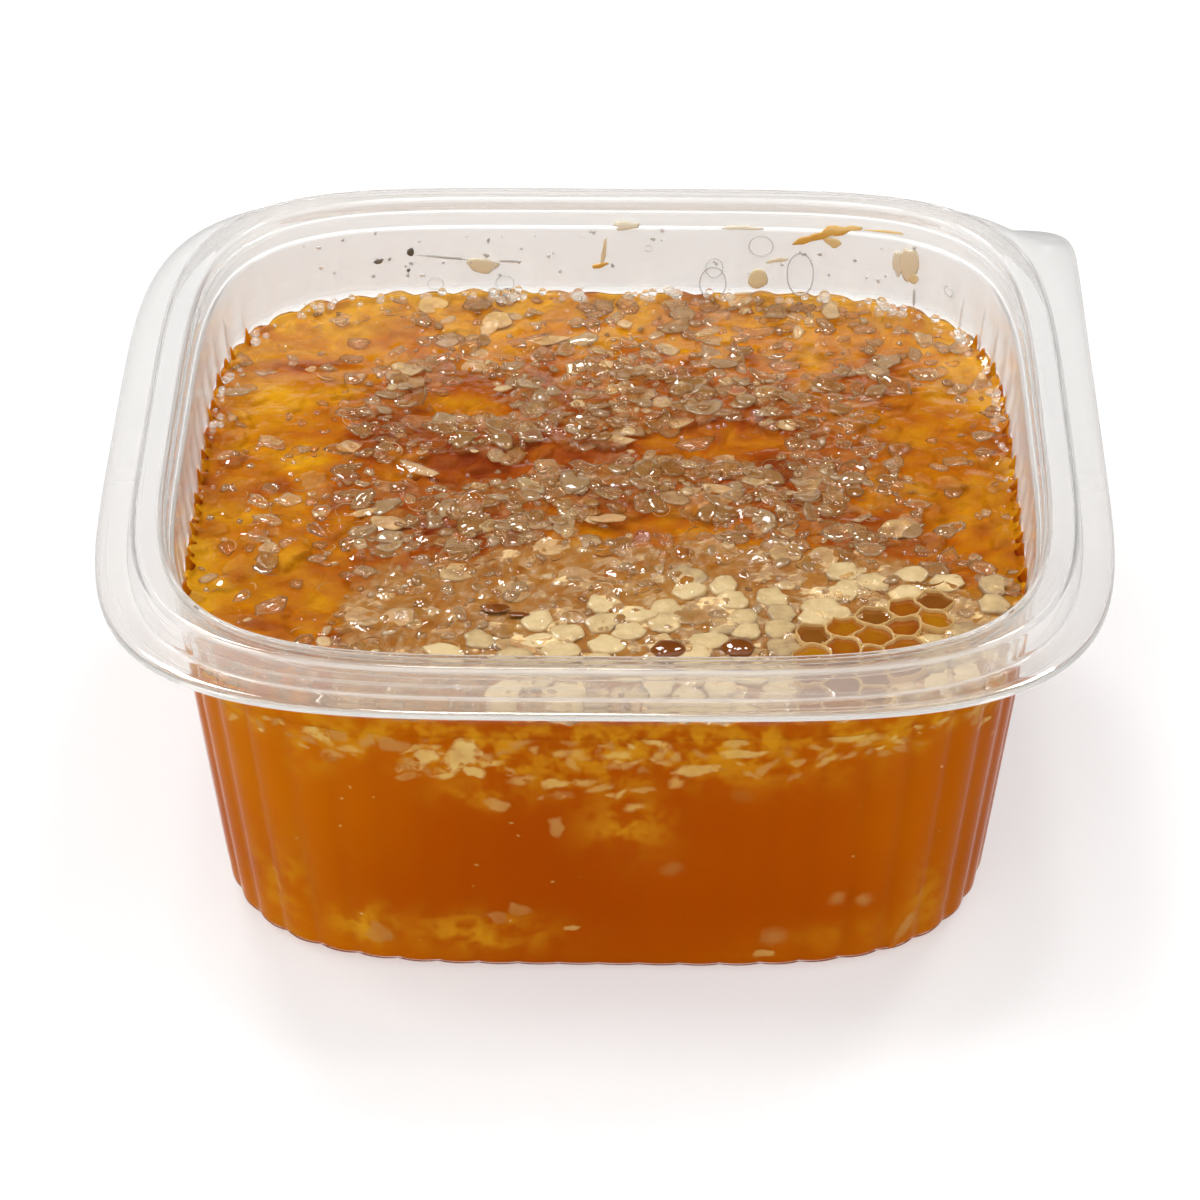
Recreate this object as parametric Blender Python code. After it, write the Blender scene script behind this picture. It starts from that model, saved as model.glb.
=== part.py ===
"""An open deli tub of thin clear plastic with a hinge flange, filled with honey and cut comb.

Metres, +Z up. The origin is the middle of the underside, +X is the hinge side and -Y the front.
Every outline is a superellipse round the Z axis. A half width runs from that axis to the middle of a side.
"""

import math
from collections import namedtuple

import bmesh
import bpy
import numpy as np
from mathutils import Vector, noise

MM = 0.001

# Corners: a higher power is a squarer corner.
FRONT_POWER = 4.1
BACK_POWER = 4.7

# Tub body.
SHEET = 0.7 * MM
BASE_HALF = 60.0 * MM
BASE_ROUND = 3.0 * MM
WALL_SLOPE = 0.115
FLUTES = 68
FLUTE_DEPTH = 0.35 * MM
FLUTE_TOP = 50.0 * MM
PLUG_BOTTOM = 53.0 * MM

# Rim, from the inside of the mouth outwards.
TUB_HEIGHT = 64.0 * MM
PLUG_TOP = 59.5 * MM
PLUG_STEP = 0.7 * MM
SEAT_TOP = 62.0 * MM
SEAT_STEP = 0.5 * MM
LAND_WIDTH = 4.6 * MM
LAND_ROUND = 0.5 * MM
FLANGE_TOP = 59.6 * MM
SKIRT_DRAFT = 0.8 * MM
FLANGE_HALF = 77.6 * MM

# Hinge flange: the back corner on the hinge side stays square.
TAB_BACK = 66.0 * MM
TAB_POWER = 24.0

# Contents.
GAP = 0.3 * MM
HONEY_LEVEL = 47.0 * MM
HONEY_COLUMNS = 64
HONEY_ROUND = 2.4 * MM
HONEY_RIPPLE = 0.25 * MM
MENISCUS = 0.4 * MM
COMB_TOP = 48.0 * MM
COMB_CRUMBLE = 0.8 * MM
COMB_TAPER = 0.6
COMB_COLUMNS = 36
POCKET_HEADROOM = 4.0 * MM
WALL_OVERRUN = 2.0 * MM

Ring = namedtuple("Ring", "half height fluted tab", defaults=(0.0, False))
Comb = namedtuple("Comb", "name middle reach power thickness keel wobble seed")

COMBS = (
    Comb(
        name="comb_front",
        middle=(9.0 * MM, -37.0 * MM),
        reach=(50.0 * MM, 27.0 * MM),
        power=2.8,
        thickness=12.0 * MM,
        keel=-12.0 * MM,
        wobble=0.05,
        seed=3.0,
    ),
    Comb(
        name="comb_back",
        middle=(2.0 * MM, 44.0 * MM),
        reach=(50.0 * MM, 22.0 * MM),
        power=2.6,
        thickness=10.0 * MM,
        keel=5.0 * MM,
        wobble=0.10,
        seed=11.0,
    ),
)


def clear_scene():
    for thing in list(bpy.data.objects):
        bpy.data.objects.remove(thing, do_unlink=True)


def corner_power(angle):
    """The superellipse power in a direction: back corners are squarer than front ones."""
    blend = 0.5 + 0.5 * math.sin(angle)
    return FRONT_POWER + (BACK_POWER - FRONT_POWER) * blend


def superellipse(angle, half_x, half_y, power):
    """Distance from the middle to a superellipse in a direction."""
    across = abs(math.cos(angle)) / half_x
    along = abs(math.sin(angle)) / half_y
    return (across**power + along**power) ** (-1.0 / power)


def outline_radius(angle, half):
    return superellipse(angle, half, half, corner_power(angle))


def tab_radius(angle):
    """Reach of the square hinge corner, which fills the quarter between +X and +Y."""
    if not 0.0 <= angle <= math.pi / 2:
        return 0.0
    return superellipse(angle, FLANGE_HALF, TAB_BACK, TAB_POWER)


def equal_steps(count, half, samples=4000):
    """Directions that divide an outline into steps of equal length, and the directions' share of it."""
    angles = np.linspace(0.0, 2.0 * math.pi, samples + 1)
    radii = np.array([outline_radius(angle, half) for angle in angles])
    corners = np.stack([radii * np.cos(angles), radii * np.sin(angles)], axis=1)
    lengths = np.linalg.norm(np.diff(corners, axis=0), axis=1)
    share = np.concatenate([[0.0], np.cumsum(lengths)]) / lengths.sum()
    steps = np.interp(np.arange(count) / count, share, angles)
    return steps, angles, share


def tub_columns():
    """Directions of the tub's columns: a ridge and a groove for each flute, and the hinge corner."""
    steps, angles, share = equal_steps(2 * FLUTES, BASE_HALF)
    hinge_corner = math.atan2(TAB_BACK, FLANGE_HALF)
    columns = np.sort(np.append(steps, hinge_corner))
    phase = np.interp(columns, angles, share) * FLUTES
    waves = 4.0 * np.abs(phase % 1.0 - 0.5) - 1.0
    return list(zip(columns, waves))


def wall_half(height):
    """Half width of the tub's inside face below the smooth band."""
    return BASE_HALF - SHEET + WALL_SLOPE * height


def ring_points(ring, columns):
    points = []
    for angle, wave in columns:
        radius = outline_radius(angle, ring.half) + ring.fluted * FLUTE_DEPTH * wave
        if ring.tab:
            radius = max(radius, tab_radius(angle) - (FLANGE_HALF - ring.half))
        points.append((radius * math.cos(angle), radius * math.sin(angle), ring.height))
    return points


def tub_rings():
    """From the middle of the underside up the outside, over the rim and down to the inside floor."""
    plug_low = wall_half(PLUG_BOTTOM)
    plug_high = plug_low + 0.5 * MM
    seat_low = plug_high + PLUG_STEP
    seat_high = seat_low + 0.3 * MM
    land_in = seat_high + SEAT_STEP
    land_out = land_in + LAND_WIDTH
    skirt_foot = land_out + SKIRT_DRAFT
    land_under = TUB_HEIGHT - SHEET
    flange_under = FLANGE_TOP - SHEET
    outside = [
        Ring(BASE_HALF - BASE_ROUND, 0.0, 0.5),
        Ring(BASE_HALF - 0.3 * BASE_ROUND, 0.3 * BASE_ROUND, 1.0),
        Ring(wall_half(BASE_ROUND) + SHEET, BASE_ROUND, 1.0),
        Ring(wall_half(FLUTE_TOP) + SHEET, FLUTE_TOP, 1.0),
        Ring(plug_low + SHEET, PLUG_BOTTOM),
        Ring(plug_high + SHEET, PLUG_TOP - SHEET),
        Ring(seat_low + SHEET, PLUG_TOP - SHEET),
        Ring(seat_high + SHEET, land_under),
    ]
    rim = [
        Ring(land_out - SHEET, land_under),
        Ring(skirt_foot - SHEET, flange_under),
        Ring(FLANGE_HALF, flange_under, tab=True),
        Ring(FLANGE_HALF, FLANGE_TOP, tab=True),
        Ring(skirt_foot, FLANGE_TOP),
        Ring(land_out, TUB_HEIGHT - LAND_ROUND),
        Ring(land_out - LAND_ROUND, TUB_HEIGHT),
        Ring(land_in + LAND_ROUND, TUB_HEIGHT),
        Ring(land_in, TUB_HEIGHT - LAND_ROUND),
    ]
    inside = [
        Ring(land_in, SEAT_TOP),
        Ring(seat_high, SEAT_TOP - 0.2 * MM),
        Ring(seat_low, PLUG_TOP),
        Ring(plug_high, PLUG_TOP - 0.2 * MM),
        Ring(plug_low, PLUG_BOTTOM),
        Ring(wall_half(FLUTE_TOP), FLUTE_TOP, 1.0),
        Ring(wall_half(BASE_ROUND), BASE_ROUND, 1.0),
        Ring(BASE_HALF - SHEET - 0.3 * BASE_ROUND, SHEET + 0.3 * BASE_ROUND, 1.0),
        Ring(BASE_HALF - BASE_ROUND, SHEET, 0.5),
    ]
    return outside + rim + inside


def loft(name, rings):
    """A closed body through rings of points, with its first and last rings filled in."""
    shell = bmesh.new()
    loops = [[shell.verts.new(point) for point in ring] for ring in rings]
    shell.faces.new(reversed(loops[0]))
    shell.faces.new(loops[-1])
    for near, far in zip(loops, loops[1:]):
        for here in range(len(near)):
            after = (here + 1) % len(near)
            shell.faces.new((near[here], near[after], far[after], far[here]))
    mesh = bpy.data.meshes.new(name)
    shell.to_mesh(mesh)
    shell.free()
    body = bpy.data.objects.new(name, mesh)
    bpy.context.scene.collection.objects.link(body)
    return body


def finish(body, colour, roughness, transmission, sharp_angle):
    """Gives a body its own material and smooth shading up to an edge angle in degrees."""
    material = bpy.data.materials.new(body.name)
    material.use_nodes = True
    shader = material.node_tree.nodes["Principled BSDF"]
    shader.inputs["Base Color"].default_value = (*colour, 1.0)
    shader.inputs["Roughness"].default_value = roughness
    shader.inputs["Metallic"].default_value = 0.0
    shader.inputs["Transmission Weight"].default_value = transmission
    body.data.materials.append(material)
    body.data.shade_smooth()
    body.data.set_sharp_from_angle(angle=math.radians(sharp_angle))


def contents_half(height):
    """Half width that the contents fill at a height, a gap inside the flutes."""
    return wall_half(height) - FLUTE_DEPTH - GAP


def honey_rings():
    """From the underside up the side, then over the gently rippled surface to its middle."""
    columns = [(angle, 0.0) for angle in equal_steps(HONEY_COLUMNS, BASE_HALF)[0]]
    floor = SHEET + GAP
    side = [
        Ring(BASE_HALF - BASE_ROUND - GAP - FLUTE_DEPTH, floor),
        Ring(contents_half(0.0) - 0.3 * HONEY_ROUND, floor + 0.4 * HONEY_ROUND),
        Ring(contents_half(BASE_ROUND), floor + HONEY_ROUND),
        Ring(contents_half(HONEY_LEVEL), HONEY_LEVEL + MENISCUS),
    ]
    rings = [ring_points(ring, columns) for ring in side]
    for share in (0.96, 0.78, 0.58, 0.38, 0.18):
        flat = ring_points(Ring(share * contents_half(HONEY_LEVEL), HONEY_LEVEL), columns)
        rings.append([(x, y, z + HONEY_RIPPLE * crumble(x, y, 0.0, 20.0 * MM)) for x, y, z in flat])
    return rings


def crumble(x, y, seed, size):
    """Smooth unevenness from -1 to 1 over a plan position."""
    return max(-1.0, min(1.0, 2.0 * noise.noise(Vector((x / size, y / size, seed)))))


def reach_to_wall(middle, angle, height):
    """Distance from a point inside the tub to the contents' edge at a height, by halving."""
    half = contents_half(height)
    near, far = 0.0, 4.0 * half
    for _ in range(40):
        halfway = 0.5 * (near + far)
        x = middle[0] + halfway * math.cos(angle)
        y = middle[1] + halfway * math.sin(angle)
        inside = math.hypot(x, y) < outline_radius(math.atan2(y, x), half)
        near, far = (halfway, far) if inside else (near, halfway)
    return near


def comb_level(comb, x, y, upper):
    """Height of a comb piece's top or underside over a plan position."""
    if upper:
        return COMB_TOP + COMB_CRUMBLE * crumble(x, y, comb.seed, 9.0 * MM)
    away = (x - comb.middle[0] - comb.keel) / (comb.reach[0] + abs(comb.keel))
    return COMB_TOP - comb.thickness * (1.0 - COMB_TAPER * away**2)


def comb_edge(comb, angle, height, pocket):
    """Distance from a comb piece's middle to its ragged edge, or to the wall where it comes near."""
    ragged = 1.0 + comb.wobble * crumble(math.cos(angle), math.sin(angle), comb.seed, 0.4)
    radius = ragged * superellipse(angle, *comb.reach, comb.power)
    wall = reach_to_wall(comb.middle, angle, COMB_TOP)
    if radius < wall - WALL_OVERRUN:
        return radius + GAP if pocket else radius
    return wall + WALL_OVERRUN if pocket else reach_to_wall(comb.middle, angle, height)


def comb_rings(comb, pocket=False):
    """A comb piece, or the pocket that it lies in, from the middle of its underside to that of its top."""
    steps = (
        (0.25, False, 0.0),
        (0.60, False, 0.0),
        (0.94, False, 0.0),
        (1.00, False, 1.2 * MM),
        (1.00, True, -1.2 * MM),
        (0.96, True, 0.0),
        (0.76, True, 0.0),
        (0.54, True, 0.0),
        (0.32, True, 0.0),
        (0.12, True, 0.0),
    )
    top_lift = POCKET_HEADROOM if pocket else 0.0
    underside_drop = GAP if pocket else 0.0
    rings = []
    for share, upper, offset in steps:
        ring = []
        for angle in np.linspace(0.0, 2.0 * math.pi, COMB_COLUMNS, endpoint=False):
            level = COMB_TOP if upper else COMB_TOP - comb.thickness
            radius = share * comb_edge(comb, angle, level, pocket)
            x = comb.middle[0] + radius * math.cos(angle)
            y = comb.middle[1] + radius * math.sin(angle)
            height = comb_level(comb, x, y, upper) + offset
            ring.append((x, y, height + top_lift if upper else height - underside_drop))
        rings.append(ring)
    return rings


def cut_pocket(honey, comb):
    """Takes the room of a comb piece, with a gap all round, out of the honey."""
    cutter = loft(f"{comb.name}_pocket", comb_rings(comb, pocket=True))
    cutter.hide_render = True
    cutter.display_type = "WIRE"
    pocket = honey.modifiers.new(cutter.name, "BOOLEAN")
    pocket.operation = "DIFFERENCE"
    pocket.solver = "EXACT"
    pocket.object = cutter


def build():
    clear_scene()
    columns = tub_columns()
    tub = loft("tub", [ring_points(ring, columns) for ring in tub_rings()])
    finish(tub, (0.90, 0.91, 0.90), 0.08, 1.0, 30.0)
    honey = loft("honey", honey_rings())
    finish(honey, (0.56, 0.16, 0.01), 0.06, 0.3, 60.0)
    for comb in COMBS:
        piece = loft(comb.name, comb_rings(comb))
        finish(piece, (0.62, 0.42, 0.16), 0.25, 0.0, 60.0)
        cut_pocket(honey, comb)


build()
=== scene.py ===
"""Looks of the open deli tub of honey with cut comb: clear fluted shell, honey, crushed comb, caps and cells."""

import math

import bpy
import numpy as np
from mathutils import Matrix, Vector


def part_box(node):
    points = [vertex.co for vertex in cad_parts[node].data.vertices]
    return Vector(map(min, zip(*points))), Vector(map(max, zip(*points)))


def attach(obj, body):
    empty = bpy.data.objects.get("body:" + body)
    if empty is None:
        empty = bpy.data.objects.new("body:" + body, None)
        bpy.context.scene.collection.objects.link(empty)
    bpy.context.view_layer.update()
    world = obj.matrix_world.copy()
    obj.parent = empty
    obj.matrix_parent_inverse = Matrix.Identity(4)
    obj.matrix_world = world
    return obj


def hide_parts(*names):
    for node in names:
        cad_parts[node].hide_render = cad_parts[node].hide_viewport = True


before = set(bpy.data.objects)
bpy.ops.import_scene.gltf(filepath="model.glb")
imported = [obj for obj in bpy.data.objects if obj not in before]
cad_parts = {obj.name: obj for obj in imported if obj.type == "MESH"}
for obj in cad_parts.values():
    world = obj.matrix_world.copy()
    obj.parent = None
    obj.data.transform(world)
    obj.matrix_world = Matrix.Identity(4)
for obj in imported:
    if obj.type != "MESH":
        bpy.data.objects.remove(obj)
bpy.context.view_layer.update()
tub_low, tub_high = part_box("tub")
honey_low, honey_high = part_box("honey")

MM = 0.001
BODY = "root"

# Tub, as the frame has it. A half width runs from the Z axis to the middle of a side.
FLANGE_HALF = tub_high.x
TUB_HEIGHT = tub_high.z
SHEET = 0.7 * MM
BASE_HALF = 60.0 * MM
BASE_ROUND = 2.8 * MM
WALL_SLOPE = 0.115
FRONT_POWER = 4.1
BACK_POWER = 4.7
FLUTES = 68
FLUTE_DEPTH = 0.28 * MM
FLUTE_TOP = 52.0 * MM
FLUTE_FADE = 3.5 * MM
PLUG_BOTTOM = 53.0 * MM
PLUG_TOP = 59.5 * MM
SEAT_TOP = 62.0 * MM
LAND_WIDTH = 4.6 * MM
FLANGE_TOP = 59.6 * MM
SKIRT_DRAFT = 0.8 * MM
TAB_BACK = 66.0 * MM
TAB_POWER = 24.0
COLUMNS_PER_FLUTE = 8

# Contents.
LEVEL = honey_high.z - 0.3 * MM
INTO_WALL = 0.25 * MM
BED_DROP = 2.4
MILKINESS = 0.36
FRONT_MILK = 0.03


# ---------------------------------------------------------------- outlines


def corner_power(angle):
    """Superellipse power in a direction: the back corners are squarer than the front ones."""
    return FRONT_POWER + (BACK_POWER - FRONT_POWER) * (0.5 + 0.5 * np.sin(angle))


def superellipse(angle, half_x, half_y, power):
    across = np.abs(np.cos(angle)) / half_x
    along = np.abs(np.sin(angle)) / half_y
    return (across**power + along**power) ** (-1.0 / power)


def outline_radius(angle, half):
    return superellipse(angle, half, half, corner_power(angle))


def arc_table(samples=8000):
    """Directions round the base outline and the share of its length that each has reached."""
    angles = np.linspace(0.0, 2.0 * math.pi, samples + 1)
    radii = outline_radius(angles, BASE_HALF)
    points = np.stack([radii * np.cos(angles), radii * np.sin(angles)], axis=1)
    lengths = np.linalg.norm(np.diff(points, axis=0), axis=1)
    return angles, np.concatenate([[0.0], np.cumsum(lengths)]) / lengths.sum()


ARC_ANGLES, ARC_SHARES = arc_table()


def flute_wave(angle):
    """-1 in the sharp creases and +1 on the crown of each flute; faintest in the middle of the front and back."""
    phase = np.interp(np.mod(angle, 2.0 * math.pi), ARC_ANGLES, ARC_SHARES) * FLUTES
    strength = 0.35 + 0.75 * np.abs(np.sin(2.0 * angle)) ** 1.5 + 0.4 * np.abs(np.cos(angle)) ** 6
    return (2.0 * np.abs(np.sin(math.pi * phase)) ** 0.8 - 1.0) * strength


def outline_normal(angle, half):
    """Unit plan vectors pointing straight out of an outline."""
    step = 1e-3
    ahead = outline_radius(angle + step, half)
    behind = outline_radius(angle - step, half)
    along_x = ahead * np.cos(angle + step) - behind * np.cos(angle - step)
    along_y = ahead * np.sin(angle + step) - behind * np.sin(angle - step)
    length = np.hypot(along_x, along_y)
    return np.stack([along_y / length, -along_x / length], axis=1)


def outline(angle, half, depth=0.0, tab=0.0):
    """Plan points of an outline, moved along its normal by the flutes and filled to the hinge corner."""
    radius = outline_radius(angle, half)
    if tab:
        quarter = (angle >= 0.0) & (angle <= math.pi / 2)
        corner = superellipse(angle, FLANGE_HALF, TAB_BACK, TAB_POWER) - (FLANGE_HALF - half)
        radius = np.where(quarter, np.maximum(radius, corner), radius)
    points = np.stack([radius * np.cos(angle), radius * np.sin(angle)], axis=1)
    if depth:
        points = points + outline_normal(angle, half) * (depth * flute_wave(angle))[:, None]
    return points


def column_angles(per_flute, with_tab=False):
    shares = np.arange(FLUTES * per_flute) / (FLUTES * per_flute)
    angles = np.interp(shares, ARC_SHARES, ARC_ANGLES)
    if with_tab:
        corner = math.atan2(TAB_BACK, FLANGE_HALF)
        extra = corner + np.linspace(-0.05, 0.05, 21)
        angles = np.sort(np.concatenate([angles, extra]))
    return angles


def wall_half(height):
    """Half width of the tub's inside face below the smooth band."""
    return BASE_HALF - SHEET + WALL_SLOPE * height


def flute_share(height):
    """How deep the flutes are at a height: full on the wall, gone above it."""
    t = np.clip(1.0 - (height - FLUTE_TOP) / FLUTE_FADE, 0.0, 1.0)
    return t * t * (3.0 - 2.0 * t)


# ---------------------------------------------------------------- meshes


def mesh_object(name, points, faces, material=None, smooth=True):
    mesh = bpy.data.meshes.new(name)
    mesh.from_pydata([tuple(p) for p in points], [], faces)
    mesh.validate(clean_customdata=False)
    if smooth:
        mesh.shade_smooth()
    piece = bpy.data.objects.new(name, mesh)
    bpy.context.scene.collection.objects.link(piece)
    if material:
        mesh.materials.append(material)
    return piece


def loft(name, rings, material):
    """A closed body through rings of equal count, with the first and last rings filled in."""
    count = len(rings[0])
    points = np.concatenate(rings)
    faces = [tuple(range(count - 1, -1, -1))]
    here = np.arange(count)
    after = (here + 1) % count
    for level in range(len(rings) - 1):
        low, high = level * count, (level + 1) * count
        quads = np.stack([low + here, low + after, high + after, high + here], axis=1)
        faces.extend(map(tuple, quads.tolist()))
    top = (len(rings) - 1) * count
    faces.append(tuple(range(top, top + count)))
    return mesh_object(name, points, faces, material)


def fillet(corners, steps=5):
    """A polyline through (x, y, radius) corners with each corner rounded by an arc."""
    path = [np.array(corners[0][:2])]
    for before, corner, after in zip(corners, corners[1:], corners[2:]):
        at = np.array(corner[:2])
        back = np.array(before[:2]) - at
        ahead = np.array(after[:2]) - at
        room = min(np.linalg.norm(back), np.linalg.norm(ahead))
        back /= np.linalg.norm(back)
        ahead /= np.linalg.norm(ahead)
        half_turn = math.acos(np.clip(back @ ahead, -1.0, 1.0)) / 2.0
        reach = min(corner[2] / math.tan(half_turn), 0.49 * room)
        start, end = at + back * reach, at + ahead * reach
        for t in np.linspace(0.0, 1.0, steps + 1):
            path.append((1 - t) ** 2 * start + 2 * t * (1 - t) * at + t**2 * end)
    path.append(np.array(corners[-1][:2]))
    return np.array(path)


# ---------------------------------------------------------------- materials


def new_material(name):
    material = bpy.data.materials.new(name)
    material.use_nodes = True
    tree = material.node_tree
    tree.nodes.clear()
    output = tree.nodes.new("ShaderNodeOutputMaterial")
    return material, tree, output


def node(tree, kind, **settings):
    made = tree.nodes.new(kind)
    for key, value in settings.items():
        if key in made.inputs:
            made.inputs[key].default_value = value
        else:
            setattr(made, key, value)
    return made


def linear(red, green, blue):
    """Scene-linear colour of an sRGB colour given from 0 to 255."""
    levels = np.array([red, green, blue]) / 255.0
    values = np.where(levels <= 0.04045, levels / 12.92, ((levels + 0.055) / 1.055) ** 2.4)
    return (*values.tolist(), 1.0)


def texture(tree, kind, scale, source, **settings):
    made = node(tree, kind, **settings)
    made.inputs["Scale"].default_value = scale
    tree.links.new(source, made.inputs["Vector"])
    return made


def ramp(tree, source, stops):
    """Colour ramp over a value; stops are (position, colour)."""
    made = node(tree, "ShaderNodeValToRGB")
    elements = made.color_ramp.elements
    while len(elements) > 1:
        elements.remove(elements[-1])
    elements[0].position = stops[0][0]
    elements[0].color = stops[0][1]
    for position, colour in stops[1:]:
        element = elements.new(position)
        element.color = colour
    tree.links.new(source, made.inputs["Fac"])
    return made.outputs["Color"]


def math_node(tree, operation, first, second=None, clamp=False):
    made = node(tree, "ShaderNodeMath", operation=operation, use_clamp=clamp)
    for index, value in enumerate((first, second)):
        if value is None:
            continue
        if isinstance(value, (int, float)):
            made.inputs[index].default_value = value
        else:
            tree.links.new(value, made.inputs[index])
    return made.outputs[0]


def mix_colour(tree, share, first, second, blend="MIX"):
    made = node(tree, "ShaderNodeMix", data_type="RGBA", blend_type=blend)
    for socket, value in ((made.inputs[0], share), (made.inputs[6], first), (made.inputs[7], second)):
        if isinstance(value, (int, float, tuple)):
            socket.default_value = value
        else:
            tree.links.new(value, socket)
    return made.outputs[2]


def bump(tree, height, strength, distance, normal=None):
    made = node(tree, "ShaderNodeBump", Strength=strength, Distance=distance)
    tree.links.new(height, made.inputs["Height"])
    if normal:
        tree.links.new(normal, made.inputs["Normal"])
    return made.outputs["Normal"]


def principled(tree, output, **settings):
    shader = node(tree, "ShaderNodeBsdfPrincipled", **settings)
    tree.links.new(shader.outputs[0], output.inputs["Surface"])
    return shader


def attribute(tree, name):
    return node(tree, "ShaderNodeAttribute", attribute_name=name).outputs["Fac"]


def spread(tree, value, amount):
    """A noise value of 0 to 1 turned into a change of up to half the amount either way."""
    made = node(tree, "ShaderNodeMath", operation="MULTIPLY_ADD")
    tree.links.new(value, made.inputs[0])
    made.inputs[1].default_value = amount
    made.inputs[2].default_value = -0.5 * amount
    return made.outputs[0]


def sheet_glass(tree, place, ior, coat):
    """Glass-like plastic. Backed by honey it bends light less."""
    waves = texture(tree, "ShaderNodeTexNoise", 60.0, place, Detail=2.0, Roughness=0.5)
    glass = node(
        tree,
        "ShaderNodeBsdfPrincipled",
        **{
            "Transmission Weight": 1.0,
            "IOR": ior,
            "Roughness": 0.06,
            "Coat Weight": coat,
            "Coat IOR": 1.6,
            "Coat Roughness": 0.05,
        },
    )
    tree.links.new(bump(tree, waves.outputs["Fac"], 0.2, 0.001), glass.inputs["Normal"])
    return glass


def map_range(tree, value, low, high, to_low=0.0, to_high=1.0):
    ranged = node(tree, "ShaderNodeMapRange")
    ranged.inputs["From Min"].default_value = low
    ranged.inputs["From Max"].default_value = high
    ranged.inputs["To Min"].default_value = to_low
    ranged.inputs["To Max"].default_value = to_high
    tree.links.new(value, ranged.inputs["Value"])
    return ranged.outputs[0]


def rim_highlight_streaks(tree, split):
    """Fine white milky lines that run round the rim: painted highlights."""
    line = node(tree, "ShaderNodeCombineXYZ")
    tree.links.new(math_node(tree, "MULTIPLY", attribute(tree, "reach"), 1.5), line.inputs["X"])
    tree.links.new(math_node(tree, "MULTIPLY", split.outputs["X"], 12.0), line.inputs["Y"])
    tree.links.new(math_node(tree, "MULTIPLY", split.outputs["Y"], 12.0), line.inputs["Z"])
    lines = texture(tree, "ShaderNodeTexNoise", 1.0, line.outputs[0], Detail=2.0, Roughness=0.6)
    strength = map_range(tree, lines.outputs["Fac"], 0.56, 0.66, 0.0, 0.3)
    return math_node(tree, "MULTIPLY", strength, map_range(tree, split.outputs["Z"], PLUG_BOTTOM, PLUG_TOP))


def rim_side_shade(tree, split):
    """How much a place is on the left or right run of the rim, where the milk is greyed as painted shade."""
    across = math_node(tree, "ABSOLUTE", split.outputs["X"])
    side = map_range(tree, across, 0.056, 0.070)
    return math_node(tree, "MULTIPLY", side, map_range(tree, split.outputs["Z"], PLUG_TOP - 3.0 * MM, PLUG_TOP))


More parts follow.
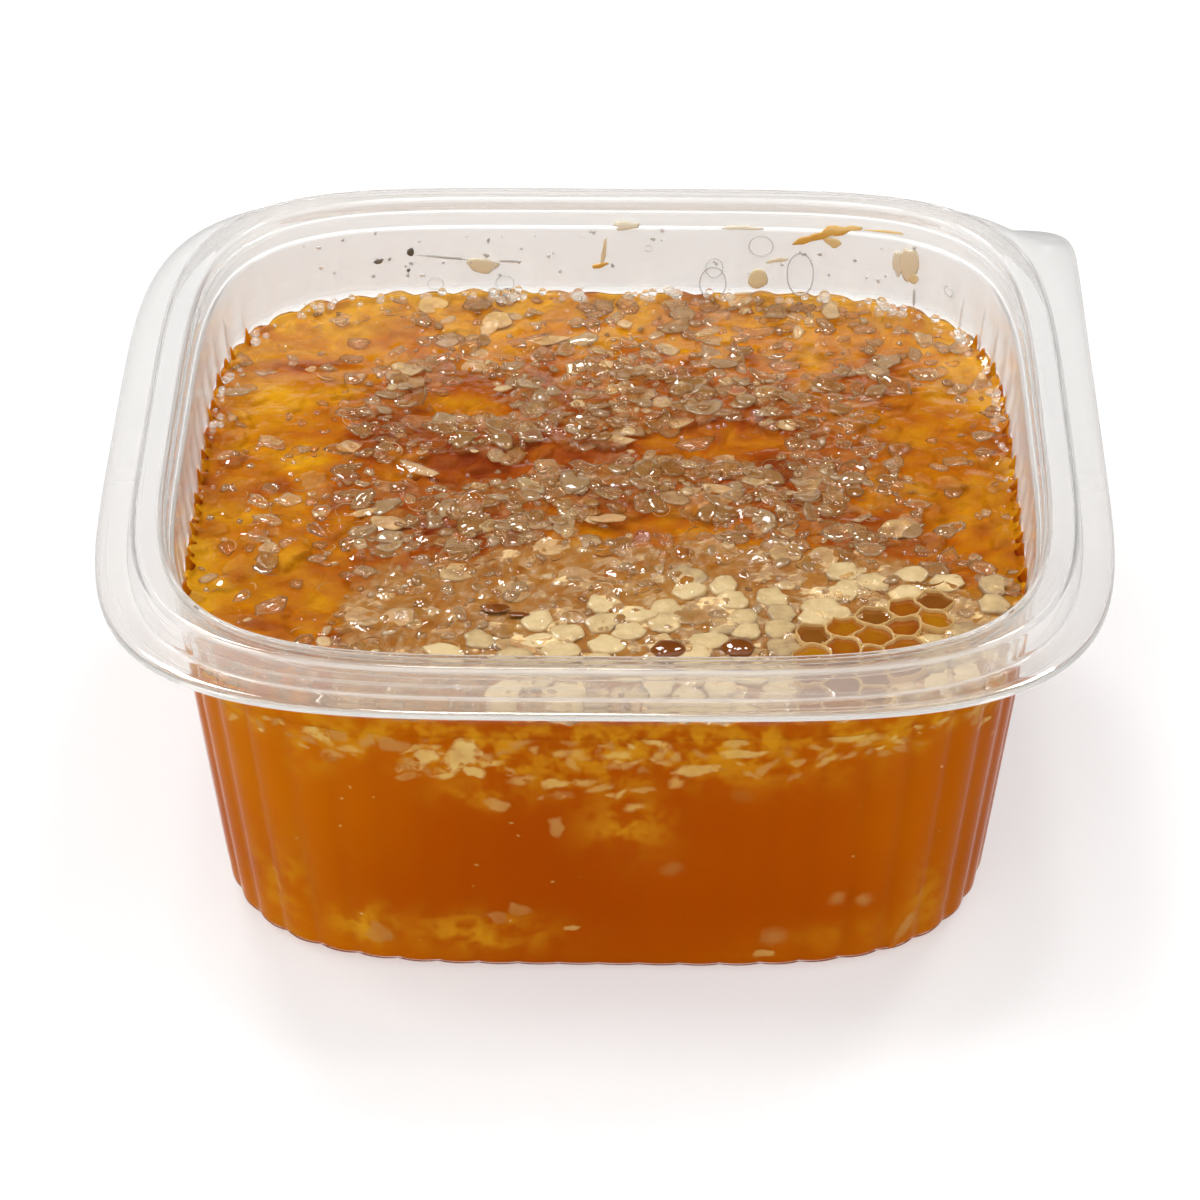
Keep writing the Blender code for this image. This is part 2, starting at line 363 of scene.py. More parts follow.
def plastic_material():
    """Clear thermoformed sheet: glass-like, milky where bare and, as white painted highlights, along its bends and
    round the rim, let through by shadow rays. Its milk is warm at the front as painted light and greyer on the rim's
    side runs as painted shade.
    """
    material, tree, output = new_material("clear_plastic")
    place = node(tree, "ShaderNodeTexCoord").outputs["Object"]
    backed = sheet_glass(tree, place, 1.08, 0.0)
    backed.inputs["Base Color"].default_value = (0.99, 0.99, 0.99, 1.0)
    bare = sheet_glass(tree, place, 1.16, 1.0)
    bare.inputs["Base Color"].default_value = (0.94, 0.93, 0.915, 1.0)
    milk = node(tree, "ShaderNodeBsdfDiffuse")
    split = node(tree, "ShaderNodeSeparateXYZ")
    tree.links.new(place, split.inputs[0])
    depth = node(tree, "ShaderNodeMapRange")
    depth.inputs["From Min"].default_value = -FLANGE_HALF
    depth.inputs["From Max"].default_value = 0.0
    tree.links.new(split.outputs["Y"], depth.inputs["Value"])
    clung = math_node(tree, "MULTIPLY", math_node(tree, "SUBTRACT", 1.0, depth.outputs[0]), 3.5 * MM)
    above = node(tree, "ShaderNodeMapRange", interpolation_type="SMOOTHSTEP")
    above.inputs["From Min"].default_value = LEVEL - 0.5 * MM
    above.inputs["From Max"].default_value = LEVEL + 2.5 * MM
    tree.links.new(math_node(tree, "SUBTRACT", split.outputs["Z"], clung), above.inputs["Value"])
    # Warm milk at the front is painted light, the glow of light that has come through the honey; behind, it is neutral.
    milk_with_painted_light = mix_colour(tree, depth.outputs[0], (0.82, 0.68, 0.52, 1.0), (0.92, 0.90, 0.875, 1.0))
    # White lines at the bends and round the rim are painted highlights.
    bends = math_node(tree, "MULTIPLY", math_node(tree, "POWER", attribute(tree, "bend_highlight"), 3.0), 0.5)
    lines = math_node(tree, "MAXIMUM", bends, rim_highlight_streaks(tree, split))
    highlight_whitening = math_node(tree, "MULTIPLY", lines, 2.0, clamp=True)
    milk_with_painted_light = mix_colour(tree, highlight_whitening, milk_with_painted_light, (0.93, 0.91, 0.89, 1.0))
    # Greyer on the left and right runs of the rim: painted shade.
    milk_with_painted_light = mix_colour(tree, rim_side_shade(tree, split), milk_with_painted_light, (0.74, 0.73, 0.72, 1.0))
    tree.links.new(milk_with_painted_light, milk.inputs["Color"])
    spread_out = math_node(tree, "MULTIPLY", depth.outputs[0], (1.0 - FRONT_MILK) * MILKINESS)
    amount = math_node(tree, "ADD", spread_out, FRONT_MILK * MILKINESS)
    glass = node(tree, "ShaderNodeMixShader")
    tree.links.new(above.outputs[0], glass.inputs["Fac"])
    tree.links.new(backed.outputs[0], glass.inputs[1])
    tree.links.new(bare.outputs[0], glass.inputs[2])
    rim = node(tree, "ShaderNodeMapRange")
    rim.inputs["From Min"].default_value = PLUG_TOP
    rim.inputs["From Max"].default_value = SEAT_TOP + 0.5 * MM
    rim.inputs["To Min"].default_value = 1.0
    rim.inputs["To Max"].default_value = 0.6
    tree.links.new(split.outputs["Z"], rim.inputs["Value"])
    amount = math_node(tree, "MULTIPLY", amount, rim.outputs[0])
    share = math_node(tree, "MULTIPLY", above.outputs[0], amount)
    share = math_node(tree, "MAXIMUM", share, lines)
    body = node(tree, "ShaderNodeMixShader")
    tree.links.new(share, body.inputs["Fac"])
    tree.links.new(glass.outputs[0], body.inputs[1])
    tree.links.new(milk.outputs[0], body.inputs[2])
    clear = node(tree, "ShaderNodeBsdfTransparent")
    clear.inputs["Color"].default_value = (0.95, 0.95, 0.95, 1.0)
    rays = node(tree, "ShaderNodeLightPath")
    shaded = node(tree, "ShaderNodeMixShader")
    tree.links.new(rays.outputs["Is Shadow Ray"], shaded.inputs["Fac"])
    tree.links.new(body.outputs[0], shaded.inputs[1])
    tree.links.new(clear.outputs[0], shaded.inputs[2])
    tree.links.new(shaded.outputs[0], output.inputs["Surface"])
    return material


DEEP_HONEY = (
    (0.0, (202, 144, 10)),
    (0.2, (188, 124, 0)),
    (0.5, (172, 98, 0)),
    (0.75, (150, 70, 0)),
    (1.0, (126, 48, 0)),
)
WAX_TONES = (
    (0.0, (108, 54, 10)),
    (0.25, (146, 88, 24)),
    (0.5, (156, 111, 56)),
    (0.7, (176, 146, 108)),
    (0.85, (214, 184, 132)),
    (1.0, (236, 208, 156)),
)


def stops(colours):
    return tuple((position, linear(*colour)) for position, colour in colours)


def honey_side_glow_colour(tree, place):
    """Honey behind the wall, with painted light: amber by the corners and the foot, as if lit through thinner honey,
    redder and darker in the deep middle.
    """
    split = node(tree, "ShaderNodeSeparateXYZ")
    tree.links.new(place, split.inputs[0])
    across = math_node(tree, "MULTIPLY", math_node(tree, "ABSOLUTE", split.outputs["X"]), 1.0 / 0.064)
    along = math_node(tree, "MULTIPLY", math_node(tree, "ABSOLUTE", split.outputs["Y"]), 1.0 / 0.064)
    corner = math_node(
        tree, "MULTIPLY", math_node(tree, "POWER", across, 2.5), math_node(tree, "POWER", along, 2.5)
    )
    foot = math_node(
        tree, "SUBTRACT", 1.0, math_node(tree, "MULTIPLY", split.outputs["Z"], 1.0 / 0.012), clamp=True
    )
    clouds = texture(tree, "ShaderNodeTexNoise", 22.0, place, Detail=3.0, Roughness=0.45)
    right = math_node(tree, "MULTIPLY", split.outputs["X"], -1.6)
    # Painted light: the corners and the foot are lighter, as if lit through thinner honey. The colour is also darker
    # towards +X.
    light = math_node(tree, "MULTIPLY", corner, 0.75)
    light = math_node(tree, "ADD", light, math_node(tree, "MULTIPLY", foot, 0.22))
    light = math_node(tree, "ADD", light, spread(tree, clouds.outputs["Fac"], 0.5))
    light = math_node(tree, "ADD", light, right)
    light = math_node(tree, "ADD", light, 0.14, clamp=True)
    return ramp(
        tree,
        light,
        stops(((0.0, (160, 62, 0)), (0.25, (174, 76, 0)), (0.55, (194, 102, 0)), (1.0, (214, 138, 8)))),
    )


def wall_colour(tree, place):
    """Honey seen through the wall, with yellow curds where the piece's cloud attribute asks for them."""
    curds = texture(tree, "ShaderNodeTexNoise", 230.0, place, Detail=5.0, Roughness=0.65)
    curd = node(tree, "ShaderNodeMapRange", interpolation_type="SMOOTHSTEP")
    curd.inputs["From Min"].default_value = 0.4
    curd.inputs["From Max"].default_value = 0.62
    tree.links.new(curds.outputs["Fac"], curd.inputs["Value"])
    amount = math_node(tree, "ADD", curd.outputs[0], 0.1)
    share = math_node(tree, "MULTIPLY", attribute(tree, "cloud"), amount, clamp=True)
    return mix_colour(tree, share, honey_side_glow_colour(tree, place), linear(214, 148, 24))


def honey_material():
    material, tree, output = new_material("honey_body")
    place = node(tree, "ShaderNodeTexCoord").outputs["Object"]
    shader = principled(tree, output, **{"Roughness": 0.4, "Specular IOR Level": 0.0})
    tree.links.new(wall_colour(tree, place), shader.inputs["Base Color"])
    return material


def wet_material(name, coat=0.0, roughness=0.4, bump_strength=0.5, mottle=0.22):
    """Comb under a skin of honey. A piece's attributes give its tone, how much wax shows and the honey's depth."""
    material, tree, output = new_material(name)
    place = node(tree, "ShaderNodeTexCoord").outputs["Object"]
    speck = texture(tree, "ShaderNodeTexNoise", 420.0, place, Detail=3.0, Roughness=0.6)
    clouds = texture(tree, "ShaderNodeTexNoise", 75.0, place, Detail=2.0, Roughness=0.5)
    deep = math_node(tree, "ADD", attribute(tree, "deep"), spread(tree, clouds.outputs["Fac"], 0.5), clamp=True)
    shade = math_node(tree, "ADD", attribute(tree, "tone"), spread(tree, speck.outputs["Fac"], mottle), clamp=True)
    honey = ramp(tree, deep, stops(DEEP_HONEY))
    wax = ramp(tree, shade, stops(WAX_TONES))
    colour = mix_colour(tree, attribute(tree, "wax"), honey, wax)
    ripples = texture(tree, "ShaderNodeTexNoise", 330.0, place, Detail=3.0, Roughness=0.6)
    shader = principled(
        tree,
        output,
        **{
            "Roughness": roughness,
            "Specular IOR Level": 0.05,
            "Coat Weight": coat,
            "Coat Roughness": 0.06,
            "Coat IOR": 1.7,
        },
    )
    tree.links.new(colour, shader.inputs["Base Color"])
    wet = bump(tree, ripples.outputs["Fac"], bump_strength, 0.0012)
    tree.links.new(wet, shader.inputs["Normal"])
    tree.links.new(wet, shader.inputs["Coat Normal"])
    return material


def clear_material(name, milk=0.0, strength=0.25, coat=1.0):
    """Clear honey, let through by shadow rays; milk is the share of its surface that scatters."""
    material, tree, output = new_material(name)
    place = node(tree, "ShaderNodeTexCoord").outputs["Object"]
    ripples = texture(tree, "ShaderNodeTexNoise", 420.0, place, Detail=2.0, Roughness=0.5)
    honey = node(
        tree,
        "ShaderNodeBsdfPrincipled",
        **{
            "Transmission Weight": 1.0,
            "IOR": 1.33,
            "Roughness": 0.05,
            "Coat Weight": coat,
            "Coat IOR": 1.65,
            "Coat Roughness": 0.06,
        },
    )
    honey.inputs["Base Color"].default_value = (1.0, 1.0, 1.0, 1.0)
    wet = bump(tree, ripples.outputs["Fac"], strength, 0.001)
    tree.links.new(wet, honey.inputs["Normal"])
    tree.links.new(wet, honey.inputs["Coat Normal"])
    surface = honey.outputs[0]
    if milk:
        pale = node(tree, "ShaderNodeBsdfDiffuse")
        pale.inputs["Color"].default_value = (0.88, 0.78, 0.62, 1.0)
        body = node(tree, "ShaderNodeMixShader", Fac=milk)
        tree.links.new(surface, body.inputs[1])
        tree.links.new(pale.outputs[0], body.inputs[2])
        surface = body.outputs[0]
    clear = node(tree, "ShaderNodeBsdfTransparent")
    rays = node(tree, "ShaderNodeLightPath")
    shaded = node(tree, "ShaderNodeMixShader")
    tree.links.new(rays.outputs["Is Shadow Ray"], shaded.inputs["Fac"])
    tree.links.new(surface, shaded.inputs[1])
    tree.links.new(clear.outputs[0], shaded.inputs[2])
    tree.links.new(shaded.outputs[0], output.inputs["Surface"])
    return material


def jelly_material(name):
    """Wet translucent wax: clear honey-coated scraps in which wax of the piece's tone scatters some of the light."""
    material, tree, output = new_material(name)
    place = node(tree, "ShaderNodeTexCoord").outputs["Object"]
    speck = texture(tree, "ShaderNodeTexNoise", 420.0, place, Detail=3.0, Roughness=0.6)
    shade = math_node(tree, "ADD", attribute(tree, "tone"), spread(tree, speck.outputs["Fac"], 0.25), clamp=True)
    veins = texture(tree, "ShaderNodeTexNoise", 700.0, place, Detail=3.0, Roughness=0.6)
    share = math_node(tree, "ADD", attribute(tree, "wax"), spread(tree, veins.outputs["Fac"], 0.6), clamp=True)
    dents = texture(tree, "ShaderNodeTexNoise", 380.0, place, Detail=1.0, Roughness=0.5)
    wet = bump(tree, dents.outputs["Fac"], 0.18, 0.001)
    clear = node(
        tree,
        "ShaderNodeBsdfPrincipled",
        **{
            "Transmission Weight": 1.0,
            "IOR": 1.2,
            "Roughness": 0.1,
            "Coat Weight": 1.0,
            "Coat IOR": 1.65,
            "Coat Roughness": 0.06,
        },
    )
    clear.inputs["Base Color"].default_value = (0.97, 0.84, 0.58, 1.0)
    wax = node(
        tree,
        "ShaderNodeBsdfPrincipled",
        **{
            "Roughness": 0.4,
            "Specular IOR Level": 0.1,
            "Coat Weight": 1.0,
            "Coat IOR": 1.65,
            "Coat Roughness": 0.06,
        },
    )
    tree.links.new(ramp(tree, shade, stops(WAX_TONES)), wax.inputs["Base Color"])
    for shader in (clear, wax):
        tree.links.new(wet, shader.inputs["Normal"])
        tree.links.new(wet, shader.inputs["Coat Normal"])
    body = node(tree, "ShaderNodeMixShader")
    tree.links.new(share, body.inputs["Fac"])
    tree.links.new(clear.outputs[0], body.inputs[1])
    tree.links.new(wax.outputs[0], body.inputs[2])
    through = node(tree, "ShaderNodeBsdfTransparent")
    through.inputs["Color"].default_value = (0.9, 0.8, 0.66, 1.0)
    rays = node(tree, "ShaderNodeLightPath")
    shaded = node(tree, "ShaderNodeMixShader")
    tree.links.new(rays.outputs["Is Shadow Ray"], shaded.inputs["Fac"])
    tree.links.new(body.outputs[0], shaded.inputs[1])
    tree.links.new(through.outputs[0], shaded.inputs[2])
    tree.links.new(shaded.outputs[0], output.inputs["Surface"])
    return material


def walled_material(name, soft):
    """Wax pressed against the wall: its colour fades to the honey's at the rim, sooner when soft."""
    material, tree, output = new_material(name)
    place = node(tree, "ShaderNodeTexCoord").outputs["Object"]
    speck = texture(tree, "ShaderNodeTexNoise", 300.0, place, Detail=3.0, Roughness=0.6)
    shade = math_node(tree, "ADD", attribute(tree, "tone"), spread(tree, speck.outputs["Fac"], 0.2), clamp=True)
    wax = ramp(tree, shade, stops(SIDE_TONES))
    fade = node(tree, "ShaderNodeMapRange", interpolation_type="SMOOTHSTEP")
    fade.inputs["From Min"].default_value = soft
    fade.inputs["From Max"].default_value = 1.0
    fade.inputs["To Min"].default_value = 0.92
    fade.inputs["To Max"].default_value = 0.0
    edge = texture(tree, "ShaderNodeTexNoise", 520.0, place, Detail=3.0, Roughness=0.6)
    torn = math_node(tree, "ADD", attribute(tree, "rim"), spread(tree, edge.outputs["Fac"], 1.3))
    tree.links.new(torn, fade.inputs["Value"])
    clouds = texture(tree, "ShaderNodeTexNoise", 160.0, place, Detail=3.0, Roughness=0.6)
    veil = math_node(tree, "ADD", 0.72, spread(tree, clouds.outputs["Fac"], 1.1), clamp=True)
    colour = mix_colour(
        tree, math_node(tree, "MULTIPLY", fade.outputs[0], veil), wall_colour(tree, place), wax
    )
    shader = principled(tree, output, **{"Roughness": 0.4, "Specular IOR Level": 0.0})
    tree.links.new(colour, shader.inputs["Base Color"])
    return material


SIDE_TONES = (
    (0.0, (150, 70, 10)),
    (0.35, (172, 100, 36)),
    (0.5, (186, 124, 60)),
    (0.65, (202, 150, 80)),
    (0.8, (220, 182, 98)),
    (1.0, (236, 208, 132)),
)


def residue_material():
    """Honey, wax and droplets left on the bare wall."""
    material, tree, output = new_material("wall_residue")
    shade = attribute(tree, "tone")
    colour = ramp(
        tree,
        shade,
        stops(
            (
                (0.0, (96, 92, 80)),
                (0.15, (186, 182, 176)),
                (0.3, (228, 226, 222)),
                (0.45, (242, 230, 204)),
                (0.6, (238, 214, 164)),
                (0.75, (236, 192, 100)),
                (1.0, (226, 158, 40)),
            )
        ),
    )
    shader = principled(tree, output, **{"Roughness": 0.12, "Coat Weight": 0.5, "Coat Roughness": 0.04})
    tree.links.new(colour, shader.inputs["Base Color"])
    return material


# ---------------------------------------------------------------- tub


def sheet_path():
    """Middle of the plastic sheet, from the floor out and up to the flange's edge, as (half, height)."""
    half_sheet = SHEET / 2
    plug_low = wall_half(PLUG_BOTTOM)
    plug_high = plug_low + 0.5 * MM
    seat_low = plug_high + 0.7 * MM
    seat_high = seat_low + 0.3 * MM
    land_in = seat_high + 0.5 * MM
    land_out = land_in + LAND_WIDTH
    foot = land_out + SKIRT_DRAFT
    corners = (
        (0.3 * BASE_HALF, half_sheet, 0.0),
        (wall_half(0.0) + half_sheet, half_sheet, BASE_ROUND),
        (plug_low + half_sheet, PLUG_BOTTOM, 8.0 * MM),
        (plug_high + half_sheet, PLUG_TOP - half_sheet, 0.5 * MM),
        (seat_low + half_sheet, PLUG_TOP - half_sheet, 0.5 * MM),
        (seat_high + half_sheet, SEAT_TOP - half_sheet, 0.4 * MM),
        (land_in + half_sheet, SEAT_TOP - half_sheet, 0.4 * MM),
        (land_in + half_sheet, TUB_HEIGHT - half_sheet, 0.9 * MM),
        (land_out - half_sheet, TUB_HEIGHT - half_sheet, 0.9 * MM),
        (foot - half_sheet, FLANGE_TOP - half_sheet, 0.7 * MM),
        (FLANGE_HALF - half_sheet, FLANGE_TOP - half_sheet, 0.0),
    )
    path = fillet(corners)
    extra = []
    for start, end in zip(path, path[1:]):
        step_length = (2.0 if start[1] > LEVEL else 6.0) * MM
        count = max(1, int(np.linalg.norm(end - start) / step_length))
        extra.extend(start + (end - start) * step / count for step in range(count))
    extra.append(path[-1])
    return np.array(extra)


def offset_path(path, distance):
    """The path moved to its left by a distance, at every point along the mean normal."""
    ahead = np.diff(path, axis=0)
    ahead /= np.maximum(np.linalg.norm(ahead, axis=1)[:, None], 1e-12)
    mean = np.concatenate([ahead[:1], ahead[:-1] + ahead[1:], ahead[-1:]])
    mean /= np.linalg.norm(mean, axis=1)[:, None]
    normal = np.stack([-mean[:, 1], mean[:, 0]], axis=1)
    return path + normal * distance


def sheet_ring(half, height, angles, foot):
    """One ring of the shell: fluted on the wall, square at the hinge corner on the flange."""
    inner_fade = np.clip((half - (BASE_HALF - 5.0 * MM)) / (2.5 * MM), 0.0, 1.0)
    depth = FLUTE_DEPTH * float(flute_share(height)) * float(inner_fade)
    tab = float(half > foot + 0.5 * (FLANGE_HALF - foot) and height < TUB_HEIGHT - 2 * MM)
    plan = outline(angles, half, depth, tab)
    return np.column_stack([plan, np.full(len(plan), height)])


def bend_highlight_share(profile, index):
    """How milky and white the sheet is at a point of its profile, a painted highlight: most at the flange's foot, some
    where the rim bends.
    """
    half, height = profile[index]
    if half > FLANGE_HALF - 0.8 * MM:
        return 1.0
    if height < PLUG_BOTTOM or index == 0:
        return 0.0
    before = profile[index] - profile[index - 1]
    after = profile[index + 1] - profile[index]
    cross = abs(before[0] * after[1] - before[1] * after[0])
    turn = cross / max(np.linalg.norm(before) * np.linalg.norm(after), 1e-12)
    return float(np.clip(3.0 * turn, 0.0, 0.9))


def make_tub(material):
    path = sheet_path()
    path = path[np.r_[True, np.linalg.norm(np.diff(path, axis=0), axis=1) > 1e-6]]
    inside = offset_path(path, SHEET / 2)
    outside = offset_path(path, -SHEET / 2)
    tip = path[-1] + np.array([SHEET / 2 * 0.7, 0.0])
    profile = np.concatenate([outside, [tip], inside[::-1]])
    angles = column_angles(COLUMNS_PER_FLUTE, with_tab=True)
    foot = 73.0 * MM
    rings = [sheet_ring(half, height, angles, foot) for half, height in profile]
    piece = loft("tub_shell", rings, material)
    # The milk and whiteness where the sheet turns are a painted highlight.
    bend_highlight = [bend_highlight_share(profile, index) for index in range(len(profile))]
    store(piece, "bend_highlight", np.repeat(bend_highlight, len(angles)))
    reach = np.concatenate([[0.0], np.cumsum(np.linalg.norm(np.diff(path, axis=0), axis=1))]) / MM
    store(piece, "reach", np.repeat(np.concatenate([reach, reach[-1:], reach[::-1]]), len(angles)))
    return piece


# ---------------------------------------------------------------- honey


def fill_ring(half, height, angles):
    """A ring of the contents that reaches into the wall."""
    plan = outline(angles, half + INTO_WALL, FLUTE_DEPTH * float(flute_share(height)))
    return np.column_stack([plan, np.full(len(plan), height)])


def cloud_share(points):
    """Where pale curds of wax and pollen cloud the honey behind the wall."""
    x, y, z = points[:, 0] / MM, points[:, 1] / MM, points[:, 2] / MM
    angle = np.arctan2(y, x)
    share = np.interp(np.mod(angle, 2.0 * math.pi), ARC_ANGLES, ARC_SHARES)
    below = LEVEL / MM - z
    cloud = 0.75 * np.clip(1.25 - below / band_depth(share), 0.0, 1.0)
    front = np.clip(-y / 30.0 - 0.6, 0.0, 1.0)
    for middle, height, half_wide, half_high, strength in CLOUDS:
        away = ((x - middle) / half_wide) ** 2 + ((z - height) / half_high) ** 2
        cloud = np.maximum(cloud, strength * front * np.exp(-1.2 * away))
    return cloud


def make_honey(material):
    """The honey below its surface. Its sides are shaded as if smooth, since honey shows no shade of its own."""
    angles = column_angles(8)
    floor = SHEET - INTO_WALL
    path = fillet(
        (
            (0.4 * BASE_HALF, floor, 0.0),
            (wall_half(0.0), floor, BASE_ROUND),
            (wall_half(LEVEL), LEVEL, 0.0),
        )
    )
    steps = [tuple(step) for step in path[:-1]]
    start, end = path[-2], path[-1]
    steps.extend(tuple(start + (end - start) * share) for share in np.linspace(0.025, 1.0, 40))
    for inward, drop in ((0.2, 0.6), (3.0, BED_DROP + 1.4), (30.0, BED_DROP + 1.4)):
        steps.append((wall_half(LEVEL) - inward * MM, LEVEL - drop * MM))
    rings = [fill_ring(half, height, angles) for half, height in steps]
    piece = loft("honey_fill", rings, material)
    store(piece, "cloud", cloud_share(np.concatenate(rings)))
    upright = np.clip((np.array([height for _, height in steps]) - floor) / BASE_ROUND, 0.0, 1.0) ** 0.5
    plan = outline_normal(angles, BASE_HALF)
    normals = [
        np.column_stack([plan * share, np.full(len(angles), -WALL_SLOPE * share - (1.0 - share))])
        for share in upright
    ]
    normals = np.concatenate(normals)
    normals /= np.linalg.norm(normals, axis=1)[:, None]
    piece.data.normals_split_custom_set_from_vertices([tuple(normal) for normal in normals])
    return piece


# ---------------------------------------------------------------- small closed shapes


class Heap:
    """Gathers many small closed shapes into one mesh, with values at their points."""

    def __init__(self, *names):
        self.points = []
        self.faces = []
        self.values = {name: [] for name in names}
        self.count = 0

    def add(self, points, faces, **values):
        self.points.append(points)
        self.faces.extend(tuple(index + self.count for index in face) for face in faces)
        for name, column in self.values.items():
            column.append(np.broadcast_to(values[name], len(points)))
        self.count += len(points)

    def make(self, name, material):
        piece = mesh_object(name, np.concatenate(self.points), self.faces, material)
        for key, columns in self.values.items():
            store(piece, key, np.concatenate(columns))
        return piece


def store(piece, name, values):
    attribute = piece.data.attributes.new(name, "FLOAT", "POINT")
    attribute.data.foreach_set("value", np.asarray(values, np.float32))


def disc_faces(columns, rings):
    """Faces of a closed disc: a top centre, rings out over the rim and back below it, a bottom centre."""
    here = range(columns)
    faces = [(0, 1 + i, 1 + (i + 1) % columns) for i in here]
    for ring in range(rings - 1):
        low = 1 + ring * columns
        high = low + columns
        faces.extend((low + i, high + i, high + (i + 1) % columns, low + (i + 1) % columns) for i in here)
    last = 1 + (rings - 1) * columns
    faces.extend((last + i, last + columns, last + (i + 1) % columns) for i in here)
    return faces


def disc(columns, profile, edge=None):
    """A closed disc through (share of its radius, height) steps, from the top centre over the rim and under."""
    around = np.arange(columns) * 2.0 * math.pi / columns
    outline_share = np.ones(columns) if edge is None else edge(around)
    rows, rim = [], []
    for share, height in profile:
        if share == 0.0:
            rows.append(np.array([[0.0, 0.0, height]]))
            rim.append(np.zeros(1))
            continue
        reach = share * outline_share
        rows.append(np.column_stack([reach * np.cos(around), reach * np.sin(around), np.full(columns, height)]))
        rim.append(np.full(columns, share))
    return np.concatenate(rows), disc_faces(columns, len(profile) - 2), np.concatenate(rim)


def tube(columns, profile, edge=None):
    """A closed ring whose section runs through (share of its radius, height) steps."""
    around = np.arange(columns) * 2.0 * math.pi / columns
    outline_share = np.ones(columns) if edge is None else edge(around)
    rows = []
    for share, height in profile:
        reach = share * outline_share
        rows.append(np.column_stack([reach * np.cos(around), reach * np.sin(around), np.full(columns, height)]))
    count = len(profile)
    faces = []
    for ring in range(count):
        low, high = ring * columns, ((ring + 1) % count) * columns
        faces.extend((low + i, low + (i + 1) % columns, high + (i + 1) % columns, high + i) for i in range(columns))
    rim = np.concatenate([np.full(columns, height) for _, height in profile])
    return np.concatenate(rows), faces, rim


def ragged_edge(rng, amount):
    phases = rng.uniform(0.0, 2.0 * math.pi, 3)

    def edge(around):
        waves = np.sin(2 * around + phases[0]) + 0.7 * np.sin(3 * around + phases[1])
        return 1.0 + amount * (waves + 0.5 * np.sin(5 * around + phases[2]))

    return edge


def hexagon_edge(around):
    """Outline of a comb cell whose corners lie at 1, eased by a circle."""
    from_side = np.mod(around - CELL_TURN + math.pi / 6, math.pi / 3) - math.pi / 6
    return np.minimum(math.cos(math.pi / 6) / np.cos(from_side), 0.96)


def lay(points, place, turn=0.0, tilt=0.0, lean=0.0):
    """Turns a shape about Z, tips it by a small angle towards a direction and moves it into place."""
    cosine, sine = math.cos(turn), math.sin(turn)
    points = points @ np.array([[cosine, sine, 0.0], [-sine, cosine, 0.0], [0.0, 0.0, 1.0]])
    axis = np.array([-math.sin(lean), math.cos(lean), 0.0])
    cosine, sine = math.cos(tilt), math.sin(tilt)
    across = np.cross(np.broadcast_to(axis, points.shape), points)
    points = points * cosine + across * sine + np.outer(points @ axis, axis) * (1.0 - cosine)
    return points + np.asarray(place)


# ---------------------------------------------------------------- fields over the contents

# Pools of clear honey: plan middle, half width and half depth in mm, then the honey's depth of colour.
POOLS = (
    (-24.0, 31.0, 8.0, 8.0, 0.52),
    (-24.0, 10.0, 13.0, 5.5, 0.82),
    (-8.0, 15.0, 12.0, 4.5, 0.78),
    (17.0, 19.0, 17.0, 7.5, 0.8),
    (6.0, -6.0, 11.0, 5.5, 0.3),
    (-52.0, 27.0, 10.0, 16.0, 0.3),
    (-46.0, -28.0, 9.0, 11.0, 0.42),
    (51.0, 22.0, 9.0, 13.0, 0.38),
    (57.0, -4.0, 6.0, 11.0, 0.42),
    (30.0, 43.0, 8.0, 4.0, 0.42),
    (-40.0, 50.0, 9.0, 5.0, 0.3),
)

# Comb cells lie in rows across the raft at the front. An open cell sits at OPEN_CELL, in mm.
CELL_PITCH = 5.3
CELL_RADIUS = CELL_PITCH / math.sqrt(3.0)
CELL_TURN = math.radians(28.0)
OPEN_CELL = (31.7, -38.3)


def bell(x, y, middle_x, middle_y, half_x, half_y):
    return ((x / MM - middle_x) / half_x) ** 2 + ((y / MM - middle_y) / half_y) ** 2


def pool_share(x, y):
    """1 in the middle of a pool of clear honey, 0 among the comb."""
    share = np.zeros_like(np.asarray(x, float))
    for middle_x, middle_y, half_x, half_y, _ in POOLS:
        share = np.maximum(share, np.clip(1.35 - bell(x, y, middle_x, middle_y, half_x, half_y), 0.0, 1.0))
    return share


def honey_depth(x, y):
    """Depth of colour of the honey: golden at the walls and the back, red brown in the middle."""
    x, y = np.asarray(x, float), np.asarray(y, float)
    reach = np.maximum(np.abs(x) / (64 * MM), np.abs(y) / (64 * MM))
    depth = 0.62 - 0.5 * reach**3 - 0.12 * np.clip((y / MM - 30.0) / 30.0, 0.0, 1.0)
    total = np.ones_like(depth)
    for middle_x, middle_y, half_x, half_y, colour in POOLS:
        weight = 4.0 * np.exp(-bell(x, y, middle_x, middle_y, half_x * 1.1, half_y * 1.1))
        depth = depth + weight * colour
        total = total + weight
    return depth / total


def raft_share(x, y):
    """1 on the raft of cut comb along the front, falling to 0 at its ragged edge."""
    x, y = np.asarray(x, float), np.asarray(y, float)
    wobble = 0.04 * np.sin(x * 260.0 + 1.0) + 0.03 * np.sin(x * 610.0 + y * 300.0)
    across = np.abs((x / MM - 10.0) / 51.0)
    along = np.abs((y / MM + 39.0) / 27.0)
    rho = (across**2.8 + along**2.8) ** (1.0 / 2.8) + wobble
    return np.clip((1.04 - rho) / 0.07, 0.0, 1.0)


def comb_cover(x, y):
    """How thickly crushed comb lies: dense in the middle and at the back, thin by the side walls."""
    x, y = np.asarray(x, float), np.asarray(y, float)
    band = np.exp(-(((x / MM - 4.0) / 42.0) ** 4)) * 0.82 + 0.18
    back = 1.0 - 0.45 * np.clip((y / MM - 36.0) / 14.0, 0.0, 1.0)
    return band * back * (1.0 - pool_share(x, y))


